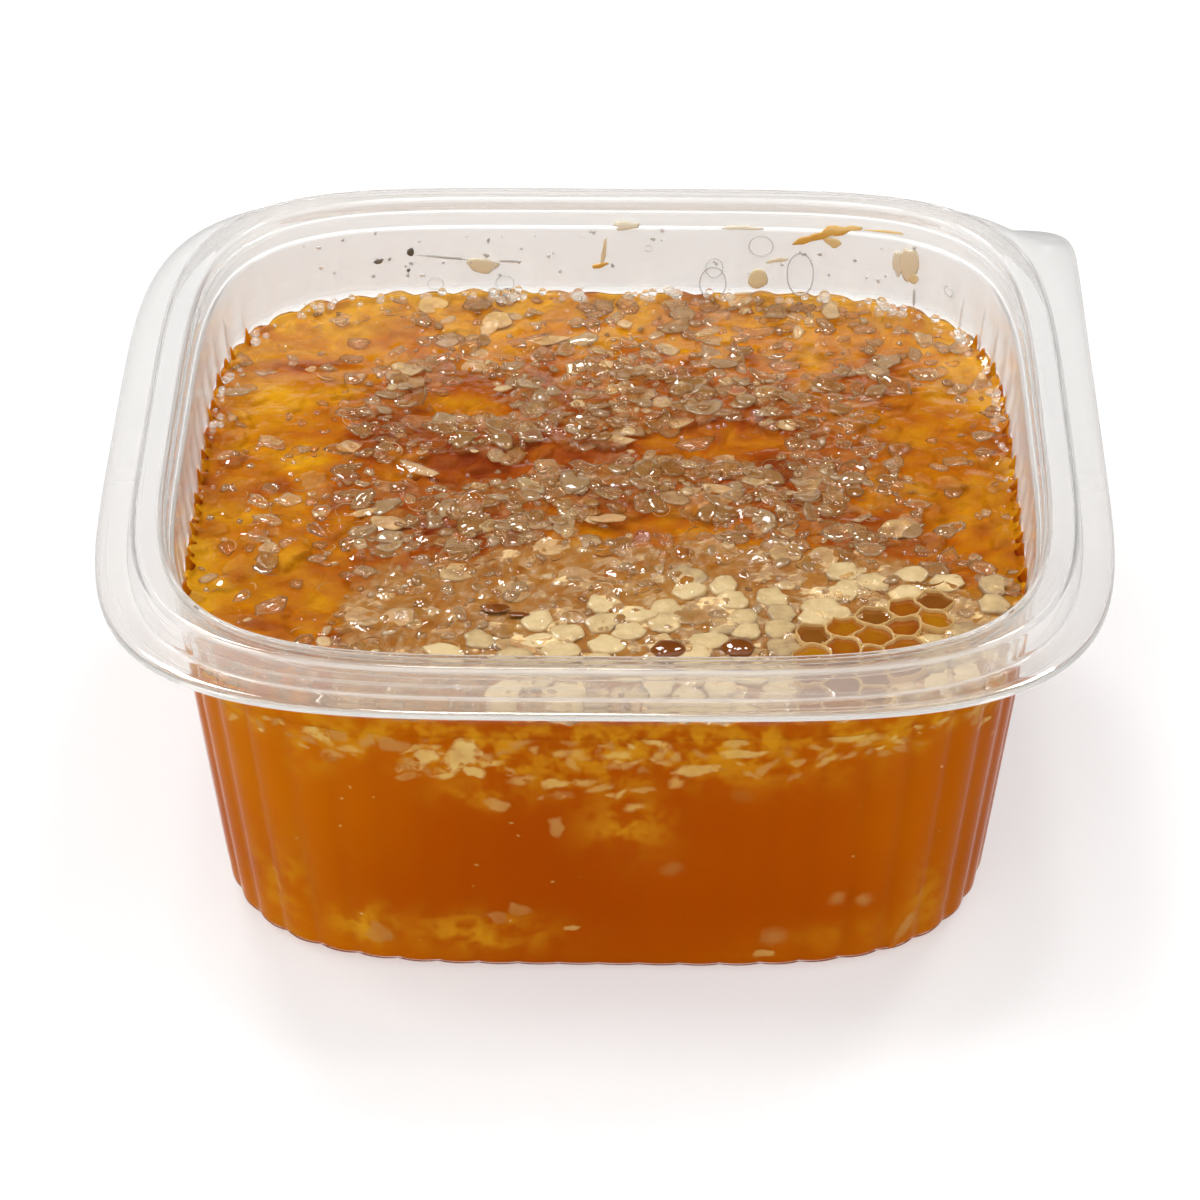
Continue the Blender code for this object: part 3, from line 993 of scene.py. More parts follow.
def capped_share(x, y):
    """Where the raft's cells are sealed with pale wax, in mm."""
    behind = -24.0 - 0.32 * (14.0 - x) if x < 14.0 else -24.0 + 0.25 * (x - 14.0)
    return float(np.clip((behind - y) / 5.0 + 0.4, 0.0, 1.0)) * float(np.clip((x + 24.0) / 9.0, 0.0, 1.0))


def is_open_cell(x, y):
    """Open cells fill the raft's right front corner, in mm."""
    edge = OPEN_CELL[1] + 0.5 * (x - OPEN_CELL[0]) if x > OPEN_CELL[0] else OPEN_CELL[1] - 0.08 * (OPEN_CELL[0] - x)
    return y < edge + 1.6 and 29.0 < x < 54.0 - 0.5 * abs(y + 30.0)


def scatter(rng, count, half):
    """Plan positions spread evenly over the mouth."""
    points = []
    while len(points) < count:
        x, y = rng.uniform(-half, half, 2)
        if math.hypot(x, y) < outline_radius(math.atan2(y, x), half):
            points.append((x, y))
    return points


# ---------------------------------------------------------------- relief of the contents

RELIEF_SIDE = 300


class Relief:
    """The crushed comb as a field of points over the mouth, on which pieces are pressed, below clear honey."""

    def __init__(self, side):
        self.side = side
        spread = np.linspace(-1.0, 1.0, side)
        u, v = np.meshgrid(spread, spread)
        share = np.maximum(np.abs(u), np.abs(v)).ravel()
        angle = np.arctan2(v, u).ravel()
        half = wall_half(LEVEL) + INTO_WALL - 0.04 * MM
        edge = outline(angle, half)
        fluted = outline(angle, half, FLUTE_DEPTH)
        plan = edge * share[:, None] + (fluted - edge) * (share**40)[:, None]
        self.half = half
        self.share = share
        self.x, self.y = plan[:, 0], plan[:, 1]
        raft = raft_share(self.x, self.y)
        self.z = LEVEL - (1.0 + (BED_DROP - 1.0) * pool_share(self.x, self.y) - 0.6 * raft) * MM
        self.crest = np.full(len(self.x), LEVEL - 3.0 * MM)
        self.tone = 0.3 + 0.2 * raft
        self.wax = 0.8 * raft

    def index(self, x, y):
        """Nearest point of the field to plan positions."""
        angle = np.arctan2(y, x)
        share = np.hypot(x, y) / outline_radius(angle, self.half)
        longest = np.maximum(np.abs(np.cos(angle)), np.abs(np.sin(angle)))
        column = np.rint((share * np.cos(angle) / longest + 1.0) * 0.5 * (self.side - 1))
        row = np.rint((share * np.sin(angle) / longest + 1.0) * 0.5 * (self.side - 1))
        column = np.clip(column, 0, self.side - 1).astype(int)
        row = np.clip(row, 0, self.side - 1).astype(int)
        return row * self.side + column

    def height(self, x, y):
        return self.z[self.index(x, y)]

    def raise_crest(self, points):
        """Notes how high a loose piece stands, so that the honey over it stands up too."""
        np.maximum.at(self.crest, self.index(points[:, 0], points[:, 1]), points[:, 2])

    def press(self, middle, size, stretch, turn, tilt, dome, lift, tone, wax, ragged):
        """Lays one piece on the surface: a low dome, paler round its rim as a painted highlight."""
        reach = size * stretch * 1.3
        near = np.flatnonzero((np.abs(self.x - middle[0]) < reach) & (np.abs(self.y - middle[1]) < reach))
        dx, dy = self.x[near] - middle[0], self.y[near] - middle[1]
        u = (dx * math.cos(turn) + dy * math.sin(turn)) / (size * stretch)
        v = (dy * math.cos(turn) - dx * math.sin(turn)) / size
        around = np.arctan2(v, u)
        rho = np.hypot(u, v) * (1.0 + 0.12 * np.sin(3.0 * around + ragged) + 0.07 * np.sin(5.0 * around - ragged))
        top = lift + tilt[0] * u * size + tilt[1] * v * size + dome * (1.0 - rho**2)
        shown = (rho < 1.0) & (top > self.z[near])
        near, rho = near[shown], rho[shown]
        self.z[near] = top[shown]
        # The rim is paler: a painted highlight on the edge.
        self.tone[near] = tone + 0.16 * np.clip((rho - 0.65) / 0.2, 0.0, 1.0)
        self.wax[near] = wax

    def mesh(self, name, z, bottom, material):
        """The field at the given heights as a closed body, shut below by a skirt and a floor."""
        side = self.side
        index = np.arange(side * side).reshape(side, side)
        quads = np.stack([index[:-1, :-1], index[:-1, 1:], index[1:, 1:], index[1:, :-1]], axis=-1).reshape(-1, 4)
        border = np.concatenate([index[0, :-1], index[:-1, -1], index[-1, :0:-1], index[:0:-1, 0]])
        points = np.column_stack([self.x, self.y, z])
        skirt = points[border].copy()
        skirt[:, :2] *= 0.982
        skirt[:, 2] = bottom
        count = len(border)
        here = np.arange(count)
        after = (here + 1) % count
        start = len(points)
        walls = np.stack([border[here], start + here, start + after, border[after]], axis=1)
        faces = [tuple(q) for q in quads.tolist()]
        faces.extend(tuple(q) for q in walls.tolist())
        faces.append(tuple(range(start + count - 1, start - 1, -1)))
        return mesh_object(name, np.concatenate([points, skirt]), faces, material), count


def blur(field, side, width):
    """The field smoothed by a bell curve of the given width in points."""
    reach = int(3 * width)
    kernel = np.exp(-0.5 * (np.arange(-reach, reach + 1) / width) ** 2)
    kernel /= kernel.sum()
    grid = np.pad(field.reshape(side, side), reach, mode="edge")
    grid = np.stack([np.convolve(row, kernel, "valid") for row in grid])
    grid = np.stack([np.convolve(row, kernel, "valid") for row in grid.T]).T
    return grid.ravel()


def grain(rng, side, width):
    """Smooth noise over the field, of unit spread; width is its size in points."""
    field = blur(rng.standard_normal(side * side), side, width)
    return field / field.std()


def lay_debris(relief, rng):
    """Presses rounded scraps of wax into the surface, deeper under the pools."""
    for x, y in scatter(rng, 5200, wall_half(LEVEL) - 0.3 * MM):
        pool = float(pool_share(x, y))
        on_raft = float(raft_share(x, y))
        cover = max(float(comb_cover(x, y)), on_raft)
        if rng.random() > 0.2 + 0.8 * cover:
            continue
        capped = capped_share(x / MM, y / MM) * on_raft
        size = rng.uniform(0.6, 2.1) * MM * (0.62 if on_raft > 0.5 else 1.0)
        depth = rng.uniform(0.0, 1.3) + 1.6 * pool - 0.3 * on_raft
        tone = 0.47 + 0.03 * on_raft + 0.2 * capped + rng.normal(0.0, 0.12)
        wax = rng.uniform(0.6, 1.0) if on_raft > 0.5 else rng.uniform(0.1, 0.8) * (0.2 + 0.8 * cover)
        wax *= math.exp(-0.5 * max(depth, 0.0)) * (1.0 - 0.5 * min(max((y / MM - 22.0) / 22.0, 0.0), 1.0))
        relief.press(
            (x, y),
            size,
            rng.uniform(1.0, 1.7),
            rng.uniform(0.0, math.pi),
            tuple(rng.uniform(-0.22, 0.22, 2)),
            rng.uniform(0.1, 0.45) * MM,
            LEVEL - (0.2 + depth) * MM,
            tone,
            max(wax, (0.75 + 0.2 * capped) * on_raft),
            rng.uniform(0.0, 6.0),
        )


def make_crushed_comb(material):
    """The lumpy bed of crushed comb."""
    rng = np.random.default_rng(21)
    relief = Relief(RELIEF_SIDE)
    lay_debris(relief, rng)
    x, y = relief.x, relief.y
    side = relief.side
    relief.z = 0.6 * relief.z + 0.4 * blur(relief.z, side, 0.9) + 0.05 * MM * grain(rng, side, 0.9)
    by_wall = np.clip((relief.share - 0.975) / 0.018, 0.0, 1.0) ** 2
    relief.z = relief.z + by_wall * np.maximum(LEVEL + 0.1 * MM - relief.z, 0.0)
    relief.tone = relief.tone + 0.07 * grain(rng, side, 1.0)
    # Honey among the comb is deepened: painted shade in the gaps between scraps.
    among = comb_cover(x, y) * (1.0 - raft_share(x, y))
    deep = honey_depth(x, y) + 0.2 * among + 0.13 * grain(rng, side, 7.0) + 0.09 * grain(rng, side, 2.5)
    piece, skirted = relief.mesh("crushed_comb", relief.z, LEVEL - (BED_DROP + 2.4) * MM, material)
    store(piece, "wax", np.concatenate([relief.wax, np.full(skirted, 0.3)]))
    store(piece, "tone", np.concatenate([relief.tone, np.full(skirted, 0.4)]))
    store(piece, "deep", np.concatenate([deep, np.full(skirted, 0.5)]))
    return piece, relief


def make_film(relief, material):
    """Clear honey over the comb. It stands up over what lies near its surface and climbs the wall a little."""
    rng = np.random.default_rng(77)
    x, y = relief.x, relief.y
    side = relief.side
    raft = raft_share(x, y)
    rough = 0.22 + 0.78 * np.maximum(comb_cover(x, y) * (1.0 - raft), 0.22 * raft)
    level = LEVEL + rough * MM * (0.08 * grain(rng, side, 1.2) + 0.20 * grain(rng, side, 2.6) - 0.1)
    flutes = flute_wave(np.arctan2(y, x))
    level = level + (0.5 + 0.35 * flutes) * MM * np.clip((relief.share - 0.965) / 0.035, 0.0, 1.0) ** 2
    crest = np.maximum(relief.crest, relief.z)
    over = np.maximum(level, crest + 0.08 * MM)
    top = np.maximum(blur(over, side, 0.9), relief.z + 0.04 * MM)
    piece, _ = relief.mesh("honey_film", top, LEVEL - (BED_DROP + 2.0) * MM, material)
    relief.surface = top
    return piece


# ---------------------------------------------------------------- pieces lying in the surface


def drop_in(heap, points, faces, tone, wax):
    """Adds a shape that lies in the honey."""
    heap.add(points, faces, tone=tone, wax=wax, deep=honey_depth(points[:, 0], points[:, 1]))


def torn_edge(rng, columns, amount):
    """An outline that jumps a little from corner to corner."""
    jumps = 1.0 + rng.uniform(-amount, amount, columns)
    return lambda around: jumps


def make_flakes(relief, material):
    """Wet scraps of crushed cells, tilted every way, that stand a little through the honey."""
    rng = np.random.default_rng(5)
    heap = Heap("tone", "wax", "deep")
    for x, y in scatter(rng, 4300, wall_half(LEVEL) - 1.4 * MM):
        on_raft = float(raft_share(x, y))
        pool = float(pool_share(x, y))
        cover = float(comb_cover(x, y)) * (1.0 - on_raft) + 0.3 * on_raft
        if is_open_cell(x / MM, y / MM) or rng.random() > 0.08 + 0.85 * cover:
            continue
        if min(math.dist((x / MM, y / MM), cap) for cap in PALE_CAPS) < 3.2:
            continue
        size = (0.45 + 1.7 * rng.random() ** 1.7) * MM * (0.65 if on_raft > 0.5 else 1.0)
        dome = rng.uniform(0.15, 0.5) * MM
        profile = ((0.0, dome), (0.45, 0.95 * dome), (0.8, 0.62 * dome), (1.0, 0.0), (0.8, -0.3 * MM), (0.0, -0.3 * MM))
        points, faces, rim = disc(9, profile, torn_edge(rng, 9, 0.24))
        points[:, 0] *= size * rng.uniform(1.0, 1.7)
        points[:, 1] *= size
        points[:, 2] += rng.uniform(-0.16, 0.16) / size * points[:, 0] ** 2
        depth = rng.uniform(-0.25, 0.55) + (1.2 * pool if rng.random() < 0.8 else 0.0)
        floor = float(relief.height(x, y)) - 0.1 * MM
        place = (x, y, max(LEVEL - depth * MM, floor))
        tilt = abs(rng.normal(0.0, 0.2))
        points = lay(points, place, rng.uniform(0.0, math.pi), tilt, rng.uniform(0.0, 2.0 * math.pi))
        bright = rng.choice([0.45, 0.55, 0.66, 0.8], p=[0.25, 0.35, 0.25, 0.15])
        tone = bright + rng.normal(0.0, 0.06) + 0.05 * on_raft
        wax = rng.choice([0.3, 0.5, 0.7, 0.95], p=[0.25, 0.3, 0.3, 0.15]) * (0.6 + 0.4 * max(cover, on_raft))
        # More wax shows round the rim, so it is paler: a painted highlight on the edge.
        drop_in(heap, points, faces, tone, np.clip(wax - 0.1 + 0.3 * rim**4, 0.0, 1.0))
    return heap.make("wax_flakes", material)


def make_threads(relief, material):
    """Thin curved edges of torn cells, catching the light."""
    rng = np.random.default_rng(8)
    heap = Heap("tone", "wax", "deep")
    for x, y in scatter(rng, 1300, wall_half(LEVEL) - 2.5 * MM):
        on_raft = float(raft_share(x, y))
        cover = float(comb_cover(x, y)) * (1.0 - on_raft) + 0.45 * on_raft
        if is_open_cell(x / MM, y / MM) or rng.random() > 0.04 + 0.7 * cover:
            continue
        radius = rng.uniform(0.8, 2.4) * MM
        squash = rng.uniform(0.6, 1.0)
        span = rng.uniform(0.8, 4.2)
        steps = 6 + int(2.5 * span)
        along = rng.uniform(0.0, 6.28) + np.linspace(0.0, span, steps)
        taper = np.sin(np.linspace(0.12, math.pi - 0.12, steps)) ** 0.5
        wide = rng.uniform(0.05, 0.11) * MM * taper
        high = rng.uniform(0.08, 0.3) * MM * taper
        middle = np.column_stack([radius * np.cos(along), squash * radius * np.sin(along), 0.0 * along])
        outward = np.column_stack([np.cos(along), np.sin(along), 0.0 * along])
        rows = []
        for out, up in ((1.0, 0.0), (0.0, 1.0), (-1.0, 0.0), (0.0, -1.0)):
            row = middle + outward * (out * wide)[:, None]
            row[:, 2] += up * high
            rows.append(row)
        points = np.stack(rows, axis=1).reshape(-1, 3)
        faces = [(3, 2, 1, 0), tuple(range(4 * steps - 4, 4 * steps))]
        for step in range(steps - 1):
            low = 4 * step
            faces.extend((low + i, low + (i + 1) % 4, low + 4 + (i + 1) % 4, low + 4 + i) for i in range(4))
        height = max(float(relief.height(x, y)), LEVEL - 0.5 * MM) + rng.uniform(0.0, 0.25) * MM
        tilt = abs(rng.normal(0.0, 0.12))
        points = lay(points, (x, y, height), rng.uniform(0.0, math.pi), tilt, rng.uniform(0.0, 6.28))
        relief.raise_crest(points)
        drop_in(heap, points, faces, 0.72 + rng.normal(0.0, 0.12), rng.uniform(0.4, 0.95))
    piece = heap.make("wax_threads", material)
    piece.visible_shadow = False
    return piece


# Larger pale flakes and curls lying on top: middle, half length, half width (mm), turn (degrees).
CURLS = (
    (-10.9, 49.6, 4.0, 1.2, 12.0),
    (-34.2, -6.8, 2.6, 1.7, -10.0),
    (-38.5, -4.0, 4.0, 0.6, 20.0),
    (-41.5, 15.7, 2.2, 1.7, 5.0),
    (-30.0, 9.0, 3.8, 0.9, -28.0),
    (0.5, -5.0, 3.0, 0.9, 2.0),
    (45.7, -7.5, 3.4, 2.3, 14.0),
    (33.6, -16.5, 2.8, 3.0, 0.0),
    (18.0, 3.5, 3.0, 1.1, -6.0),
    (-19.0, 56.0, 2.8, 2.2, 10.0),
    (-30.0, 61.0, 2.6, 2.2, 0.0),
    (-13.1, -41.3, 3.1, 2.2, 0.0),
    (-31.5, -33.4, 2.8, 2.2, -20.0),
)


def make_curls(relief, material):
    rng = np.random.default_rng(12)
    heap = Heap("tone", "wax", "deep")
    for x, y, half_long, half_wide, turn in CURLS:
        thick = 0.2 * MM
        profile = ((0.0, thick), (0.35, thick), (0.65, thick), (0.92, 0.7 * thick), (1.0, 0.0), (0.85, -thick), (0.0, -thick))
        points, faces, rim = disc(24, profile, ragged_edge(rng, 0.09))
        points[:, 2] += rng.uniform(-0.5, 0.5) * MM * points[:, 0] ** 2 + 0.3 * MM * points[:, 1]
        points[:, 0] *= half_long * MM
        points[:, 1] *= half_wide * MM
        points = lay(points, (x * MM, y * MM, LEVEL - 0.1 * MM), math.radians(turn), 0.08, rng.uniform(0.0, 6.28))
        relief.raise_crest(points)
        # Paler round the rim: a painted highlight on the edge.
        drop_in(heap, points, faces, 0.74 + 0.12 * rim, 0.65)
    return heap.make("wax_curls", material)


def lattice_cells():
    """Middles of the raft's cells, in mm."""
    steps = []
    first = CELL_PITCH * np.array([math.cos(CELL_TURN), math.sin(CELL_TURN)])
    second = CELL_PITCH * np.array([math.cos(CELL_TURN + math.pi / 3), math.sin(CELL_TURN + math.pi / 3)])
    for i in range(-25, 26):
        for j in range(-25, 26):
            at = np.array(OPEN_CELL) + i * first + j * second
            room = outline_radius(math.atan2(at[1], at[0]), wall_half(LEVEL) / MM - 3.3)
            if math.hypot(*at) < room and raft_share(*(at * MM)) > 0.5:
                steps.append(tuple(at))
    return steps


# Pale caps that stand out of the honey on the raft: plan middle in mm.
PALE_CAPS = (
    (12.8, -21.3),
    (12.8, -25.5),
    (18.2, -24.0),
    (19.5, -27.9),
    (25.7, -27.2),
    (9.3, -30.7),
    (9.0, -34.3),
    (20.9, -33.1),
    (21.3, -36.0),
    (26.6, -35.7),
    (3.8, -36.8),
    (15.6, -39.3),
    (0.5, -40.3),
    (27.1, -31.6),
    (33.0, -29.6),
    (35.2, -31.2),
    (46.3, -26.2),
    (47.4, -20.6),
    (52.7, -22.8),
    (-5.6, -37.4),
    (-10.2, -34.0),
    (-6.5, -42.2),
    (-13.5, -43.5),
    (-24.0, -42.6),
)


def make_caps(relief, material):
    """Sealed cells of the raft: pale flat caps standing clear of the honey, and greyer wet ones just under it."""
    rng = np.random.default_rng(3)
    heap = Heap("tone", "wax", "deep")
    wet = [(x, y) for x, y in lattice_cells() if not is_open_cell(x, y) and rng.random() < 0.2 + 0.7 * capped_share(x, y)]
    wet = [at for at in wet if min(math.dist(at, cap) for cap in PALE_CAPS) > 3.2]
    for x, y in (*PALE_CAPS, *wet):
        pale = (x, y) in PALE_CAPS
        dry = pale or rng.random() < 0.8 * capped_share(x, y) - 0.1
        dome = rng.uniform(0.03, 0.14) * MM
        profile = (
            (0.0, dome),
            (0.4, 0.95 * dome),
            (0.75, 0.8 * dome),
            (0.93, 0.4 * dome),
            (1.0, -0.12 * MM),
            (1.0, -1.2 * MM),
            (0.0, -1.2 * MM),
        )
        ragged = ragged_edge(rng, 0.075 if pale else 0.11)
        points, faces, rim = disc(24, profile, lambda around: hexagon_edge(around) * ragged(around))
        points[:, 0] *= CELL_RADIUS * MM * rng.uniform(0.82, 1.15)
        points[:, 1] *= CELL_RADIUS * MM * rng.uniform(0.76, 1.0)
        points[:, 2] += 0.08 * MM * np.sin(points[:, 0] / MM * 2.1 + x) * np.cos(points[:, 1] / MM * 2.6 + y)
        height = LEVEL + (rng.uniform(0.1, 0.26) if dry else rng.uniform(-0.3, 0.02)) * MM
        tilt = abs(rng.normal(0.0, 0.09))
        points = lay(points, (x * MM, y * MM, height), rng.uniform(-0.35, 0.35), tilt, rng.uniform(0.0, 6.28))
        if not dry:
            relief.raise_crest(points)
        # Dry caps are darker round the rim, painted shade; wet caps are paler round the rim, a painted highlight.
        tone = (0.92 - 0.12 * rim**4 if dry else 0.6 + 0.14 * rim**3) + rng.normal(0.0, 0.06 if pale else 0.1)
        heap.add(points, faces, tone=tone, wax=1.0 if dry else 0.8, deep=0.3)
    return heap.make("cell_caps", material)


def warped(points):
    """Points of the cell rows pushed a little out of true, the same way wherever cells meet."""
    x, y = points[:, 0] / MM, points[:, 1] / MM
    moved = points.copy()
    moved[:, 0] += (0.30 * np.sin(0.9 * y + 0.4 * x) + 0.22 * np.sin(1.9 * y - 1.1 * x)) * MM
    moved[:, 1] += (0.32 * np.sin(0.8 * x + 1.0) + 0.2 * np.sin(2.1 * x + 1.4 * y)) * MM
    return moved


def make_open_cells(wall_material, honey_material):
    """Open hexagonal cells: thin wax walls standing over dark honey that swells in each."""
    rng = np.random.default_rng(17)
    walls = Heap("tone", "wax", "deep")
    wells = Heap("tone", "wax", "deep")
    for x, y in lattice_cells():
        if not is_open_cell(x, y):
            continue
        top = LEVEL + 0.8 * MM
        profile = (
            (1.0, -3.0 * MM),
            (1.0, 0.0),
            (0.97, 0.08 * MM),
            (0.935, 0.0),
            (0.92, -0.35 * MM),
            (0.90, -3.0 * MM),
        )
        points, faces, rim = tube(24, profile, hexagon_edge)
        points[:, :2] *= CELL_RADIUS * 1.01 * MM
        points = points + np.array([x * MM, y * MM, top])
        sag = 0.18 * np.sin(points[:, 0] / MM * 0.31) + 0.15 * np.cos(points[:, 1] / MM * 0.37 + 1.0)
        points[:, 2] += np.where(rim > -1.0 * MM, sag * MM, 0.0)
        walls.add(warped(points), faces, tone=1.1, wax=0.5, deep=-0.5)
        fill = rng.uniform(-0.75, -0.35) * MM
        swell = rng.uniform(0.1, 0.45) * MM
        bowl = (
            (0.0, swell),
            (0.5, 0.75 * swell),
            (0.8, 0.3 * swell),
            (0.95, 0.05 * MM),
            (0.95, -1.5 * MM),
            (0.0, -1.5 * MM),
        )
        points, faces, rim = disc(24, bowl, hexagon_edge)
        points[:, :2] *= CELL_RADIUS * MM
        points = points + np.array([x * MM, y * MM, top + fill])
        brown = rng.random() < 0.45
        points = warped(points)
        wells.add(points, faces, tone=0.12, wax=0.85 if brown else 0.15, deep=rng.uniform(0.2, 0.7) + 0.3 * rim**2)
    cells = walls.make("open_cells", wall_material)
    cells.visible_shadow = False
    return cells, wells.make("cell_honey", honey_material)


def bead(columns, size):
    """A round drop or bubble, flattened below."""
    profile = ((0.0, 0.8), (0.35, 0.75), (0.65, 0.58), (0.87, 0.32), (1.0, 0.0), (0.8, -0.5), (0.0, -0.6))
    points, faces, _ = disc(columns, profile)
    return points * size, faces


# Large bubbles: X, Y and radius in mm.
LARGE_DROPS = ((-21.3, -1.1, 2.3), (5.6, -10.6, 1.6), (3.0, -14.5, 1.3), (-8.0, 20.0, 1.5), (24.0, 26.0, 1.4))


def make_drops(relief, material):
    """Bubbles and drops of clear honey standing on the surface."""
    rng = np.random.default_rng(30)
    heap = Heap()
    for x, y, size in LARGE_DROPS:
        points, faces = bead(32, size * MM)
        at = np.array([x * MM, y * MM])
        heap.add(points + np.array([*at, float(relief.surface[relief.index(*at)])]), faces)
    for x, y in scatter(rng, 900, wall_half(LEVEL) - 1.0 * MM):
        if rng.random() > 0.2 + 0.8 * float(comb_cover(x, y)):
            continue
        points, faces = bead(12, rng.uniform(0.2, 0.6) * MM)
        points = points + np.array([x, y, float(relief.surface[relief.index(x, y)])])
        heap.add(points, faces)
    return heap.make("honey_drops", material)


def make_froth(relief, material):
    """Pale froth of small bubbles along the wall, thickest at the back and in its corners."""
    rng = np.random.default_rng(31)
    heap = Heap()
    for turn in rng.uniform(0.0, 2.0 * math.pi, 1000):
        back = max(0.0, math.sin(turn)) ** 0.5 if math.sin(turn) > 0.0 else 0.0
        if rng.random() > 0.02 + 0.98 * back * (0.45 + 0.55 * math.sin(23.0 * turn) * math.sin(9.0 * turn)):
            continue
        size = rng.uniform(0.25, 0.35 + 0.75 * back) * MM
        rise = rng.uniform(-0.2, 0.1 + 1.7 * back) * MM
        reach = outline_radius(turn, wall_half(LEVEL) - size - abs(rng.normal(0.0, 0.5 + 0.5 * back)) * MM)
        points, faces = bead(10, size)
        heap.add(points + np.array([reach * math.cos(turn), reach * math.sin(turn), LEVEL + rise]), faces)
    return heap.make("honey_froth", material)


# Dark domes of honey filling a cell, and a dark gap in the raft: X, Y, half length, half width, height (mm).
BLISTERS = ((9.7, -41.8, 2.9, 2.4, 0.8), (20.3, -41.2, 2.8, 2.3, 0.8), (-16.7, -31.0, 2.4, 1.2, 0.12), (-13.2, -32.6, 1.9, 0.6, 0.1))


def make_blisters(relief, material):
    rng = np.random.default_rng(9)
    heap = Heap("tone", "wax", "deep")
    for x, y, half_long, half_wide, height in BLISTERS:
        profile = ((0.0, 1.0), (0.4, 0.9), (0.7, 0.66), (0.9, 0.32), (1.0, 0.0), (0.9, -1.0), (0.0, -1.0))
        edge = ragged_edge(rng, 0.05)
        points, faces, rim = disc(30, profile, lambda around: 0.5 * (1.0 + hexagon_edge(around)) * edge(around))
        points = points * np.array([half_long, half_wide, height]) * MM
        points = points + np.array([x * MM, y * MM, LEVEL + 0.32 * MM])
        heap.add(points, faces, tone=0.08 + 0.1 * rim**3, wax=0.75, deep=0.9)
    return heap.make("honey_blisters", material)


# ---------------------------------------------------------------- things seen through the wall


def on_wall(share, height, lift):
    """Points on the honey's side: share of the way round from +X, height, and distance out from it."""
    angle = np.interp(np.mod(share, 1.0), ARC_SHARES, ARC_ANGLES)
    depth = FLUTE_DEPTH * flute_share(height)
    radius_half = wall_half(height) + INTO_WALL + lift
    radius = outline_radius(angle, radius_half)
    plan = np.stack([radius * np.cos(angle), radius * np.sin(angle)], axis=1)
    normal = plan / np.linalg.norm(plan, axis=1)[:, None]
    plan = plan + normal * (depth * flute_wave(angle))[:, None]
    return np.column_stack([plan, height])


PERIMETER = float(
    np.linalg.norm(
        np.diff(
            np.stack(
                [
                    outline_radius(ARC_ANGLES, 62.0 * MM) * np.cos(ARC_ANGLES),
                    outline_radius(ARC_ANGLES, 62.0 * MM) * np.sin(ARC_ANGLES),
                ],
                axis=1,
            ),
            axis=0,
        ),
        axis=1,
    ).sum()
)


def share_at(x, y):
    """Share of the way round at which a direction lies."""
    return float(np.interp(math.atan2(y, x) % (2.0 * math.pi), ARC_ANGLES, ARC_SHARES))


def add_patch(heap, rng, share, height, half_wide, half_high, turn, tone, ragged, proud, columns=18):
    """A flake lying against the inside of the wall, in mm; it fades at its rim."""
    thick = proud * MM
    profile = ((0.0, thick), (0.4, thick), (0.75, 0.9 * thick), (0.93, 0.55 * thick), (1.0, 0.1 * thick), (0.95, -0.4 * MM), (0.0, -0.4 * MM))
    points, faces, rim = disc(columns, profile, ragged_edge(rng, ragged))
    u = points[:, 0] * half_wide
    v = points[:, 1] * half_high
    across = u * math.cos(turn) - v * math.sin(turn)
    along = u * math.sin(turn) + v * math.cos(turn)
    heights = np.minimum((height + along) * MM, LEVEL - 0.1 * MM)
    mapped = on_wall(share + across * MM / PERIMETER, heights, points[:, 2])
    heap.add(mapped, faces, tone=tone, rim=rim)


# Flakes by the front wall below the rim: X, height, half width, half height (mm), turn (degrees), tone.
FRONT_FLAKES = (
    (-20.6, 43.6, 2.6, 4.4, -18.0, 0.95),
    (-25.8, 43.3, 2.7, 1.7, 8.0, 0.95),
    (-19.0, 40.6, 2.0, 1.5, -30.0, 0.9),
    (-39.9, 46.6, 2.4, 2.0, -20.0, 0.6),
    (-31.2, 45.2, 3.0, 1.6, -25.0, 0.55),
    (-29.0, 39.1, 2.0, 1.0, 10.0, 0.62),
    (-15.7, 34.0, 2.1, 1.7, 0.0, 0.66),
    (-6.8, 29.5, 1.6, 2.1, 10.0, 0.6),
    (-6.8, 38.2, 2.6, 1.3, 5.0, 0.78),
    (-0.4, 37.4, 2.4, 1.0, 20.0, 0.72),
    (13.7, 41.1, 3.2, 1.5, 10.0, 0.9),
    (20.6, 44.3, 3.6, 1.1, 6.0, 0.82),
    (19.8, 47.0, 1.9, 1.9, 0.0, 0.74),
    (5.8, 37.1, 2.0, 0.8, 0.0, 0.7),
    (37.4, 47.0, 3.8, 1.1, 14.0, 0.78),
    (29.0, 42.4, 1.3, 0.9, 0.0, 0.7),
    (24.5, 3.4, 2.4, 0.9, 0.0, 0.75),
    (-12.7, 12.4, 1.9, 1.7, 15.0, 0.52),
    (-15.8, 11.0, 1.9, 1.8, 0.0, 0.5),
    (-34.4, 6.4, 2.2, 2.6, -25.0, 0.55),
    (-4.7, 8.9, 1.5, 0.8, 20.0, 0.72),
    (50.5, 5.0, 1.6, 3.4, -32.0, 0.6),
)

# Round wax platelets deep in the honey by the front wall: X, height, radius (mm), tone.
PLATELETS = (
    (10.6, 21.3, 2.3, 0.42),
    (36.4, 14.1, 1.9, 0.46),
    (41.2, 13.1, 1.9, 0.5),
    (26.1, 7.0, 2.7, 0.5),
    (20.8, 35.9, 2.0, 0.36),
)

